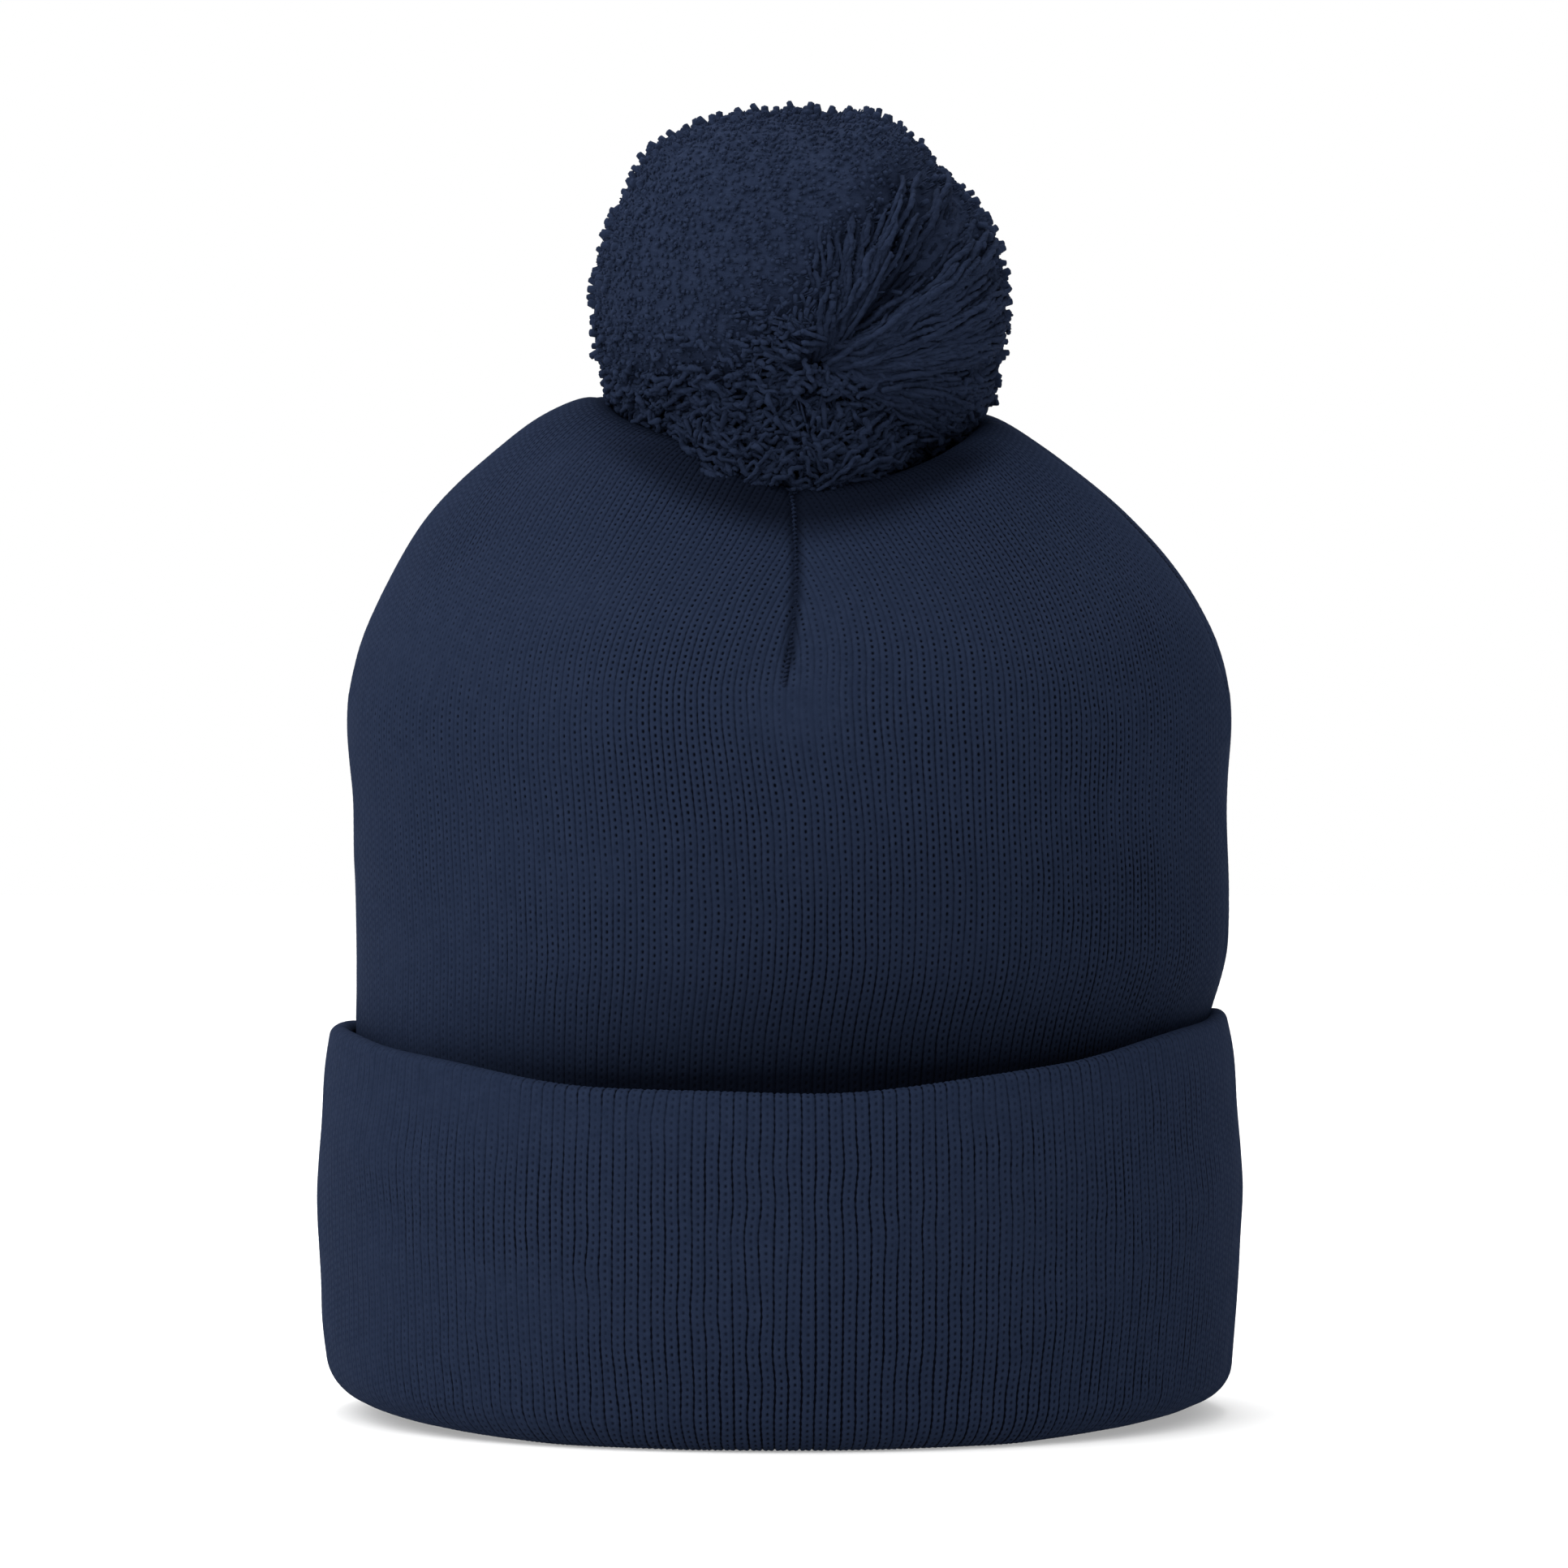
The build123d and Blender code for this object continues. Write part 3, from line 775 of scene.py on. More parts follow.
cuff_path, cuff_length = cuff_paths(angles)
fine = COURSE / PER_COURSE
cuff_want = np.concatenate(
    [np.arange(-12.9, -5.8, 2.4 * fine), np.arange(-5.7, 70.0, fine), np.arange(70.2, CUFF_END, 2 * fine), [CUFF_END]]
)[::-1]
cuff_points = resampled(cuff_path, cuff_length, cuff_want)
cuff_rows = len(cuff_want)
cuff_normals = grid_normals(cuff_points, True)
around = np.arange(COLUMNS + 1) % COLUMNS
cuff_wale = np.append(wale_number, WALES)[None] + 0.115 * wobble(cuff_rows, COLUMNS, 25, 22, 15)[:, around]
cuff_course = (cuff_want / COURSE)[:, None] + 0.10 * wobble(cuff_rows, COLUMNS, 26, 14, 20)[:, around]
on_face = np.exp(-(((cuff_want - 30) / 34.0) ** 4))[:, None]
cuff_dents = wobble(cuff_rows, COLUMNS, 11, 50, 116) * 0.55 * on_face
cuff_tension = wobble(cuff_rows, COLUMNS, 12, 16, 24)

cuff_open = openness(cuff_points, 22, (40, 58), 0.25)
cuff_open *= 1 - 0.48 * np.exp(-(((cuff_want - 3.0) / 7.0) ** 2))[:, None]  # plumper along the rim
cuff_face = knit_surface(
    cuff_points,
    cuff_normals,
    cuff_wale[:, :-1],
    cuff_course[:, :-1],
    cuff_tension,
    RIB_HEIGHT * 1.08 * (0.45 + 0.6 * cuff_open),
    cuff_dents - 0.05,
)
cuff_face[:, :, 2] = np.maximum(cuff_face[:, :, 2], 0.0)
cuff_face_normals = grid_normals(cuff_face, True)

cuff_pieces = []
for k in range(4):
    low, high = k * COLUMNS // 4, (k + 1) * COLUMNS // 4
    columns = np.arange(low, high + 1) % COLUMNS
    w, c = cuff_wale[:, low : high + 1], cuff_course[:, low : high + 1]
    back = cuff_points[:, columns] - cuff_normals[:, columns] * 1.55
    cuff_pieces.append(
        shell_piece(
            f"cuff_knit_{k + 1}",
            cuff_face[:, columns],
            cuff_face_normals[:, columns],
            back,
            8,
            12,
            KNIT,
            {"wale": w, "course": c, "openness": cuff_open[:, columns], "channels": np.full(w.shape, 1.3)},
        )
    )


def ring_shell(name, outer, inner, material, attributes):
    """A closed band all the way round: outer and inner grids with the same points, rows upward."""
    rows, columns = outer.shape[:2]
    count = rows * columns
    index = np.arange(count).reshape(rows, columns)
    right = np.roll(index, -1, 1)
    faces = [
        np.stack([index[:-1], right[:-1], right[1:], index[1:]], -1).reshape(-1, 4),
        count + np.stack([index[:-1], index[1:], right[1:], right[:-1]], -1).reshape(-1, 4),
        np.stack([index[0], index[0] + count, right[0] + count, right[0]], -1),
        np.stack([index[-1], right[-1], right[-1] + count, index[-1] + count], -1),
    ]
    faces = np.concatenate(faces)
    vertices = np.concatenate([outer.reshape(-1, 3), inner.reshape(-1, 3)])
    values = {key: np.concatenate([v.ravel(), v.ravel()]) for key, v in attributes.items()}
    return new_piece(name, vertices, faces.ravel(), np.arange(len(faces)) * 4, material, values)


# the cuff's backing layer, in the gap behind its face
backing_turn = angles[::3]
backing_rim = rim_height(angles)[::3] - 9.4
steps = np.linspace(0, 1, 40)
backing_foot = 9.0 + 0.9 * side_lift(backing_turn)
backing_z = backing_foot + steps[:, None] * (backing_rim - backing_foot)[None]
backing_out = np.stack([np.cos(backing_turn), np.sin(backing_turn) / DEPTH_RATIO], 1)
backing_out /= np.linalg.norm(backing_out, axis=1, keepdims=True)
backing_centre = np.stack([FOLD_CENTRE * np.cos(backing_turn), FOLD_CENTRE * DEPTH_RATIO * np.sin(backing_turn)], 1)


def backing_layer(inset):
    points = np.empty((*backing_z.shape, 3))
    radius = face_radius(backing_z) - inset
    points[:, :, :2] = backing_centre[None] + (radius - FOLD_CENTRE)[:, :, None] * backing_out[None]
    points[:, :, 2] = backing_z
    return points


backing = ring_shell(
    "cuff_backing_knit",
    backing_layer(2.05),
    backing_layer(3.75),
    KNIT,
    {
        "wale": np.broadcast_to(wale_number[::3], backing_z.shape),
        "course": (backing_z - 9.0) / COURSE,
        "openness": np.full(backing_z.shape, 0.7),
        "channels": np.full(backing_z.shape, 1.0),
    },
)

# the lining: the same knit going on up the inside, with the back of the darts' ridges on it
LINING_STEP = 2
lining_turn = angles[::LINING_STEP]
lining_path, lining_length = cuff_path[:, ::LINING_STEP], cuff_length[:, ::LINING_STEP]
wall_rows = 170
wall_share = np.linspace(0, 1, wall_rows)
lining_want = CUFF_END + wall_share[:, None] * (lining_length[-1] - CUFF_END)[None]
lining_wall = resampled(lining_path, lining_length, lining_want)
upper_rows = np.arange(foot_row + 2, body_rows, 2)
inward = 3.8
upper = (body_points - body_normals * (inward + np.clip(dart_dent, 0, 1.2))[:, :, None])[upper_rows][:, ::LINING_STEP]
last_ring = upper[-1]
hole_out = last_ring[:, :2] - POM_CENTRE[:2]
hole_out /= np.linalg.norm(hole_out, axis=1, keepdims=True)
closing = []
for radius in (4.6, 3.5):
    ring = last_ring.copy()
    ring[:, :2] = POM_CENTRE[:2] + hole_out * radius
    ring[:, 2] = last_ring[:, 2].mean() - 0.15
    closing.append(ring)
lining_points = np.concatenate([lining_wall, upper, np.array(closing)])[::-1]
step_up = np.concatenate(
    [np.zeros((1, len(lining_turn))), np.cumsum(np.linalg.norm(np.diff(lining_points[::-1], axis=0), axis=2), 0)]
)[::-1]
lining_course = (CUFF_END + step_up) / COURSE
lining_rows = len(lining_points)
lining_normals = grid_normals(lining_points, True)
upper_wale = np.empty((len(upper_rows) + 2, COLUMNS + 1))
for first, last, wales, dent in gores:
    upper_wale[: len(upper_rows), first : last + 1] = wales[upper_rows]
upper_wale[-2:] = upper_wale[-3]
lining_wale = np.concatenate([np.broadcast_to(np.append(wale_number, WALES), (wall_rows, COLUMNS + 1)), upper_wale])[::-1]
lining_tension = wobble(lining_rows, COLUMNS // LINING_STEP, 15, 16, 24)
lining_rib = 0.5 - 0.5 * np.cos(2 * math.pi * lining_wale[:, :-1:LINING_STEP])
lining_rib *= 1 + 0.15 * lining_tension
lining_face = lining_points + lining_normals * ((lining_rib - 1) * 0.32)[:, :, None]
lining_face_normals = grid_normals(lining_face, True)
lining_pieces = []
for k in range(4):
    low, high = k * COLUMNS // 4, (k + 1) * COLUMNS // 4
    own = np.arange(low // LINING_STEP, high // LINING_STEP + 1) % len(lining_turn)
    w = lining_wale[:, low : high + 1 : LINING_STEP]
    lining_pieces.append(
        shell_piece(
            f"lining_knit_{k + 1}",
            lining_face[:, own],
            lining_face_normals[:, own],
            lining_points[:, own] - lining_normals[:, own] * 1.5,
            8,
            6,
            KNIT,
            {
                "wale": w,
                "course": lining_course[:, own],
                "openness": np.full(w.shape, 0.75),
                "channels": np.full(w.shape, 0.8),
            },
        )
    )


# ---------------------------------------------------------------- tubes, for yarn and thread
def tube_arrays(paths, radii, sides, twist=0.0, lobes=0, lobe_depth=0.0, depth=None):
    """Tubes along many paths at once, with painted shade along them. paths is (tubes, rings, 3); radii and the painted
    shade are (tubes, rings).
    """
    count, rings = paths.shape[:2]
    tangent = np.gradient(paths, axis=1)
    tangent /= np.maximum(np.linalg.norm(tangent, axis=2, keepdims=True), 1e-9)
    helper = np.where(np.abs(tangent[:, :1, 2:3]) < 0.85, np.array([0.0, 0.0, 1.0]), np.array([1.0, 0.0, 0.0]))
    helper = np.broadcast_to(helper, tangent.shape)
    first = np.cross(tangent, helper)
    first /= np.maximum(np.linalg.norm(first, axis=2, keepdims=True), 1e-9)
    second = np.cross(tangent, first)
    spin = np.arange(sides) / sides * 2 * math.pi
    length = np.concatenate([np.zeros((count, 1)), np.cumsum(np.linalg.norm(np.diff(paths, axis=1), axis=2), 1)], 1)
    turn = spin[None, None, :] + twist * length[:, :, None]
    size = radii[:, :, None] * (1 - lobe_depth * (0.5 - 0.5 * np.cos(lobes * spin))[None, None, :] if lobes else 1.0)
    size = np.broadcast_to(size, turn.shape)
    points = (
        paths[:, :, None, :]
        + first[:, :, None, :] * (size * np.cos(turn))[..., None]
        + second[:, :, None, :] * (size * np.sin(turn))[..., None]
    )
    start_cap = paths[:, 0] - tangent[:, 0] * radii[:, :1] * 0.4
    end_cap = paths[:, -1] + tangent[:, -1] * radii[:, -1:] * 0.4
    per = rings * sides + 2
    vertices = np.concatenate([points.reshape(count, -1, 3), start_cap[:, None], end_cap[:, None]], 1)
    ring = np.arange(rings * sides).reshape(rings, sides)
    right = np.roll(ring, -1, 1)
    quads = np.stack([ring[:-1], right[:-1], right[1:], ring[1:]], -1).reshape(-1, 4)
    low = np.stack([np.full(sides, rings * sides), right[0], ring[0]], -1)
    high = np.stack([np.full(sides, rings * sides + 1), ring[-1], right[-1]], -1)
    base = (np.arange(count) * per)[:, None, None]
    loops = np.concatenate(
        [(quads[None] + base).reshape(count, -1), (low[None] + base).reshape(count, -1), (high[None] + base).reshape(count, -1)], 1
    )
    sizes = np.concatenate([np.full(len(quads), 4), np.full(2 * sides, 3)])
    sizes = np.tile(sizes, count)
    starts = np.concatenate([[0], np.cumsum(sizes)[:-1]])
    # painted shade along each tube, none unless given
    if depth is None:
        depth = np.zeros((count, rings))
    shade = np.concatenate([np.repeat(depth, sides, axis=1), depth[:, :1], depth[:, -1:]], 1)
    return vertices.reshape(-1, 3), loops.ravel(), starts, shade.ravel()


def tube_piece(name, paths, radii, sides, material, **shape):
    vertices, loops, starts, shade = tube_arrays(paths, radii, sides, **shape)
    return new_piece(name, vertices, loops, starts, material, {"depth": shade})


def joined(name, parts, material):
    """One piece from several sets of tube arrays."""
    vertices, loops, starts, shade, corner, vertex = [], [], [], [], 0, 0
    for v, l, s, d in parts:
        vertices.append(v)
        loops.append(l + vertex)
        starts.append(s + corner)
        shade.append(d)
        corner += len(l)
        vertex += len(v)
    return new_piece(
        name, np.concatenate(vertices), np.concatenate(loops), np.concatenate(starts), material, {"depth": np.concatenate(shade)}
    )


# ---------------------------------------------------------------- the pom
def unit(v):
    return v / np.maximum(np.linalg.norm(v, axis=-1, keepdims=True), 1e-9)


def turned(direction, axis, angle):
    """Rotates unit vectors about unit axes by angles."""
    c, s = np.cos(angle)[:, None], np.sin(angle)[:, None]
    dot = (direction * axis).sum(1, keepdims=True)
    return direction * c + np.cross(axis, direction) * s + axis * dot * (1 - c)


def sphere_directions(count, seed, jitter):
    k = np.arange(count) + 0.5
    z = 1 - 2 * k / count
    t = k * math.pi * (3 - math.sqrt(5))
    flat = np.sqrt(1 - z * z)
    source = np.random.default_rng(seed)
    points = np.stack([flat * np.cos(t), flat * np.sin(t), z], 1)
    return unit(points + source.normal(size=points.shape) * jitter)


def pom_angles(direction):
    """Angle from the parting, and the direction round it: 0 to the viewer's right, 90 up."""
    away = np.arccos(np.clip(direction @ PARTING, -1, 1))
    around = np.degrees(np.arctan2(direction @ PARTING_UP, direction @ PARTING_RIGHT))
    return away, around


def strands(direction, toward, lay, inner, outer, curve, rings, source, stray, waves=0.0):
    """Paths of strands that end at directions, coming from lay radians nearer to toward."""
    axis = unit(np.cross(direction, toward))
    share = np.linspace(0, 1, rings)
    paths = np.empty((len(direction), rings, 3))
    stray = np.broadcast_to(stray, (len(direction),))[:, None]
    wander = unit(source.normal(size=direction.shape)) * stray
    ripple = unit(source.normal(size=direction.shape)) * stray * 0.8
    phase = source.uniform(0, 2 * math.pi, len(direction))
    for i, s in enumerate(share):
        way = turned(direction, axis, lay * (1 - s))
        radius = inner + (outer - inner) * (1 - (1 - s) ** curve)
        paths[:, i] = way * radius[:, None] + wander * (math.sin(math.pi * s) * 0.6 + s * s * 0.8)
        if waves:
            paths[:, i] += ripple * np.sin(2 * math.pi * waves * s + phase)[:, None]
    return POM_CENTRE + paths


def tapered(count, rings, radius, tip):
    """Strand radii: even, rounding off at the cut end."""
    s = np.linspace(0, 1, rings)
    shape = np.ones(rings)
    shape[-1] = tip
    shape[-2] = 0.86
    return radius[:, None] * shape[None]


PARTING = unit(np.array((0.118, -0.926, -0.36)))
PARTING_RIGHT = unit(np.cross(np.array((0.0, 0.0, 1.0)), PARTING))
PARTING_UP = np.cross(PARTING, PARTING_RIGHT)
OUTLINE_LUMPS = (  # degrees round from the top, half width in degrees, how much fuller in mm
    (-90, 14, -0.6),
    (-42, 9, 1.8),
    (-6, 12, -1.7),
    (9, 6, -1.8),
    (46, 11, -1.5),
    (68, 8, 0.6),
    (115, 10, 0.9),
)
CREASE = math.radians(54)


def fuller_at(direction):
    """How much further the ends reach than on an even ball, which gives the pom its lumpy outline."""
    round_it = np.degrees(np.arctan2(direction[:, 0], direction[:, 2]))
    lumps = sum(size * np.exp(-(((round_it - at) / width) ** 2)) for at, width, size in OUTLINE_LUMPS)
    return lumps * (1 - direction[:, 1] ** 2) ** 2


def reach_at(direction):
    """Where the cut ends stop: uneven round the outline, and drooping over the front of the crown."""
    low = np.clip((-0.45 - direction[:, 2]) / 0.2, 0, 1)
    droop = droop_at(direction)
    return POM_RADIUS + fuller_at(direction) + 10.0 * droop - 0.35 * low * (1 - droop)


def droop_at(direction):
    """Where the ends hang forward and down over the front of the crown, 0 to 1."""
    middle = np.exp(-(((direction[:, 0] + 0.03) / 0.41) ** 4)) * np.clip(-1.6 * direction[:, 1], 0, 1)
    return middle * np.exp(-(((direction[:, 2] + 0.72) / 0.105) ** 2))


def shade_by_depth(paths, full=37.4, fade=4.5):
    """How deep in the pom each point lies, 0 at the surface and 1 in the gaps, and darker underneath."""
    away = paths - POM_CENTRE
    radius = np.linalg.norm(away, axis=2)
    low = np.clip((-0.22 - away[:, :, 2] / radius) / 0.62, 0, 1) * (0.56 + 0.14 * np.clip(away[:, :, 0] / 20, -1, 1))
    return np.clip(np.maximum((full - radius) / fade, low), 0, 1)


def combed(direction):
    """0 where the pile stands plain, 1 where the fan of combed strands covers it, and the angles for it."""
    away, around = pom_angles(direction)
    turn = np.where(around < -110, around + 360, around)
    side = np.clip((turn + 34) / 14, 0, 1) * np.clip((118 - turn) / 30, 0, 1)
    reach = 1.42 - 0.72 * np.clip((turn - 60) / 30, 0, 1)
    return side * np.clip((reach - away) / 0.25, 0, 1), away, turn


def pile(count, seed, rings, size, drop, spread, lay_range, sideways, jitter):
    """Cut ends standing all round the pom, except at its mouth and where the fan is combed out."""
    source = np.random.default_rng(seed)
    direction = sphere_directions(count, seed + 1, jitter)
    fan, away, turn = combed(direction)
    mingled = np.clip((turn - 50) / 24, 0, 1)
    keep = (direction[:, 2] > -0.955) & (source.uniform(size=len(direction)) > (0.9 - 0.55 * mingled) * fan)
    keep &= source.uniform(size=len(direction)) > 0.72 * np.clip((-0.38 - direction[:, 2]) / 0.12, 0, 1)
    direction, away, fan = direction[keep], away[keep], fan[keep]
    n = len(direction)
    level = unit(np.cross(direction, np.array((0.0, 0.0, 1.0))) + 1e-6)
    level *= np.where(source.uniform(size=(n, 1)) < 0.8, 1, -1)
    toward = direction + level * sideways + source.normal(size=(n, 3)) * 0.45
    near = np.clip((0.56 - away) / 0.3, 0, 1)[:, None]
    toward = toward * (1 - near) + (PARTING * 3 + 0.3 * source.normal(size=(n, 3))) * near
    lay = source.uniform(*lay_range, n) + 0.28 * near[:, 0]
    top = reach_at(direction) - drop + source.normal(size=n) * spread
    top -= 4.5 * np.exp(-((away / 0.19) ** 2)) + 0.8 * fan
    paths = strands(direction, toward, lay, top - 7.5 - 6.0 * droop_at(direction), top, 1.4, rings, source, 0.22)
    radii = tapered(n, rings, source.uniform(*size, n), 0.62)
    return direction, paths, radii


def knobs(count, seed):
    """Thicker cut ends that stand a little proud, mostly away from the combed front."""
    source = np.random.default_rng(seed)
    direction = sphere_directions(count, seed + 1, 0.035)
    keep = (direction[:, 2] > -0.6) & (direction[:, 1] > -0.42)
    direction = direction[keep]
    n = len(direction)
    edge = np.exp(-((direction[:, 1] / 0.33) ** 2))
    toward = unit(source.normal(size=(n, 3)))
    top = reach_at(direction) - 0.25 + edge * source.uniform(0.35, 1.35, n)
    paths = strands(direction, toward, np.full(n, 0.05), top - 5.0, top, 1.0, 5, source, 0.15)
    radii = tapered(n, 5, source.uniform(0.72, 1.02, n), 0.70)
    return direction, paths, radii


def fan(count, seed):
    """Strands combed out of the parting, seen along their length, with one deep groove among them, and painted shade
    deeper in the pom and along that groove.
    """
    source = np.random.default_rng(seed)
    turn = np.radians(np.where(source.uniform(size=count) < 0.86, source.uniform(-34, 60, count), source.uniform(52, 104, count)))
    short = np.clip((np.degrees(turn) - 58) / 26, 0, 1)
    start = source.uniform(0.0, 1.0, count) ** 1.3 * (0.80 - 0.38 * short)
    away = start + source.uniform(0.42, 0.80, count) * (1 - 0.42 * short)
    away = np.minimum(away, 1.40 - 0.55 * short + 0.06 * source.normal(size=count))
    bend = 0.22 * np.sin(np.clip(turn, 0, 1.2) * 2.2)
    end_turn = turn - bend * away
    direction = PARTING * np.cos(away)[:, None] + (
        PARTING_RIGHT * np.cos(end_turn)[:, None] + PARTING_UP * np.sin(end_turn)[:, None]
    ) * np.sin(away)[:, None]
    lay = away - start
    toward = PARTING + source.normal(size=direction.shape) * 0.04
    layer = source.uniform(0, 1, count)
    in_crease = np.exp(-(((turn - CREASE) / 0.13) ** 2)) * np.clip((0.95 - start) / 0.5, 0, 1)
    clump = 0.60 * np.sin(turn * 17 + 1.1) * np.clip(away, 0, 1)
    top = 37.1 + 1.5 * layer + clump - 3.0 * in_crease - 0.9 * short
    inner = top - 3.0 + 1.6 * np.clip(start / 0.45, 0, 1)
    paths = strands(direction, toward, lay, inner, top, 1.7, 15, source, 0.35 + 0.55 * source.uniform(size=count), 1.9)
    radii = tapered(count, 15, source.uniform(0.52, 0.82, count), 0.7)
    # painted shade deeper in the pom and in the groove; the random part is the yarn's own tone varying
    shade = shade_by_depth(paths, 37.9, 3.6)
    shade = np.clip(0.85 * shade + 0.60 * in_crease[:, None] + 0.18 * source.uniform(size=(count, 1)) ** 2, 0, 1)
    return paths, radii, shade


def shag(count, seed, lowest, highest, length, size, stray):
    """Looser, wavy ends round the underside, lying every way over one another."""
    source = np.random.default_rng(seed)
    height = source.uniform(lowest, highest, count)
    around = source.uniform(0, 2 * math.pi, count)
    flat = np.sqrt(1 - height**2)
    direction = np.stack([flat * np.cos(around), flat * np.sin(around), height], 1)
    sideways = np.cross(direction, np.array((0.0, 0.0, 1.0)))
    sideways = sideways * np.where(source.uniform(size=(count, 1)) < 0.5, 1, -1)
    toward = direction + sideways * 1.3 + source.normal(size=direction.shape) * 0.38 + np.array((0, 0, 0.30))
    lay = source.uniform(*length, count)
    top = reach_at(direction) - 0.55 + source.uniform(-0.6, 0.9, count)
    paths = strands(direction, toward, lay, top - 1.7, top, 1.5, 12, source, stray + stray * source.uniform(size=count), 2.0)
    radii = tapered(count, 12, source.uniform(*size, count), 0.72)
    return direction, paths, radii


def quarter(direction):
    """Which quarter of the pom a strand stands in, 0 to 3."""
    return ((np.degrees(np.arctan2(direction[:, 1], direction[:, 0])) + 360 + 45) % 360 // 90).astype(int)


thick = pile(7600, 31, 3, (0.50, 0.80), 0.62, 0.14, (0.03, 0.10), 1.5, 0.012)
thin = pile(13500, 41, 3, (0.24, 0.36), 0.46, 0.12, (0.06, 0.12), 3.6, 0.02)
round_ends = knobs(1050, 45)
pom_pieces = []


def pile_piece(name, wanted):
    """One piece of the pile: the thick ends, the thin ones between them and the knobs, where wanted(direction) says."""
    parts = []
    for (direction, paths, radii), sides in ((thick, 6), (thin, 3), (round_ends, 9)):
        own = wanted(direction)
        if own.any():
            parts.append(tube_arrays(paths[own], radii[own], sides, depth=shade_by_depth(paths[own])))
    return joined(name, parts, POM_YARN)


def hangs(direction):
    """Whether an end is part of the fringe that hangs over the crown's front."""
    return droop_at(direction) > 0.06


for k, side in enumerate(("right", "back", "left", "front")):
    pom_pieces.append(pile_piece(f"pom_pile_{side}", lambda way: (quarter(way) == k) & ~hangs(way)))
pom_pieces.append(pile_piece("pom_pile_fringe", hangs))
paths, radii, shade = fan(640, 51)
pom_pieces.append(tube_piece("pom_combed_strands", paths, radii, 8, POM_YARN, twist=0.9, lobes=2, lobe_depth=0.26, depth=shade))


def loose_ends(name, settings, wanted):
    """Loose strands from shag, kept where wanted(direction) says."""
    parts = []
    for setting in settings:
        direction, paths, radii = shag(*setting)
        own = wanted(direction)
        paths, radii = paths[own], radii[own]
        shade = shade_by_depth(paths, reach_at(direction[own])[:, None] - 0.5, 3.0) * 0.84
        parts.append(tube_arrays(paths, radii, 7, twist=0.9, lobes=2, lobe_depth=0.28, depth=shade))
    return joined(name, parts, POM_YARN)


UNDERSIDE = (1100, 61, -0.90, -0.40, (0.11, 0.21), (0.52, 0.76), 0.46)
LOWER_FRONT = (230, 67, -0.46, -0.10, (0.08, 0.16), (0.50, 0.70), 0.42)
FRINGE = (3600, 73, -0.90, -0.44, (0.09, 0.17), (0.44, 0.68), 0.50)
pom_pieces.append(loose_ends("pom_loose_ends", [UNDERSIDE], lambda way: way[:, 2] < 0))
pom_pieces.append(loose_ends("pom_front_ends", [LOWER_FRONT], lambda way: (way[:, 1] < 0) & (combed(way)[0] < 0.3)))
pom_pieces.append(loose_ends("pom_front_fringe", [FRINGE], hangs))


def pom_core():
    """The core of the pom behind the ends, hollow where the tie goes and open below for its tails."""
    outline = []
    mouth = 0.42
    for polar in np.linspace(math.pi, mouth, 120):
        outline.append((37.55 * math.sin(polar), -37.55 * math.cos(polar)))
    outline.append((11.6, -27.0))
    outline.append((6.9, -9.0))
    for polar in np.linspace(1.0, math.pi, 16):
        outline.append((8.4 * math.sin(polar), -8.4 * math.cos(polar)))
    outline = np.array(outline)
    count = 360
    t = np.arange(count) / count * 2 * math.pi
    rows = len(outline)
    points = np.empty((rows, count, 3))
    ripple = 1 + 0.0045 * wobble(rows, count, 71, 2, 2) + 0.003 * wobble(rows, count, 72, 7, 8)
    ripple[0] = ripple[0].mean()
    points[:, :, 0] = outline[:, :1] * np.cos(t)[None] * ripple
    points[:, :, 1] = outline[:, :1] * np.sin(t)[None] * ripple
    points[:, :, 2] = outline[:, 1:] * ripple
    radius = np.linalg.norm(points, axis=2, keepdims=True)
    way = points / np.maximum(radius, 1e-9)
    away = np.arccos(np.clip(way @ PARTING, -1, 1))[:, :, None]
    turn = np.arctan2(way @ PARTING_UP, way @ PARTING_RIGHT)[:, :, None]
    hollow = 1.2 * combed(way.reshape(-1, 3))[0].reshape(away.shape) + 1.6 * np.clip((-0.30 - way[:, :, 2:]) / 0.2, 0, 1) + 6.0 * np.exp(-((away / 0.26) ** 2)) + 3.0 * np.exp(-(((turn - CREASE) / 0.16) ** 2)) * np.exp(-(((away - 0.5) / 0.4) ** 2))
    hollow = hollow - fuller_at(way.reshape(-1, 3)).reshape(away.shape)
    points -= way * hollow * (radius > 30)
    points += POM_CENTRE
    index = np.arange(rows * count).reshape(rows, count)
    right = np.roll(index, -1, 1)
    quads = np.stack([index[:-1], index[1:], right[1:], right[:-1]], -1).reshape(-1, 4)
    quads = quads[:, ::-1]
    # painted shade, darker in the hollows and towards the bottom
    low = np.clip((-0.15 - way[:, :, 2]) / 0.4, 0, 1)
    depth = np.clip(0.10 + 0.16 * np.clip(hollow[:, :, 0], 0, None) + 0.65 * low, 0, 1).ravel()
    piece = new_piece("pom_core", points.reshape(-1, 3), quads.ravel(), np.arange(len(quads)) * 4, POM_YARN, {"depth": depth})
    import bmesh

    mesh = bmesh.new()
    mesh.from_mesh(piece.data)
    bmesh.ops.remove_doubles(mesh, verts=mesh.verts, dist=1e-6)
    bmesh.ops.recalc_face_normals(mesh, faces=mesh.faces)
    mesh.to_mesh(piece.data)
    mesh.free()
    return piece


pom_pieces.append(pom_core())


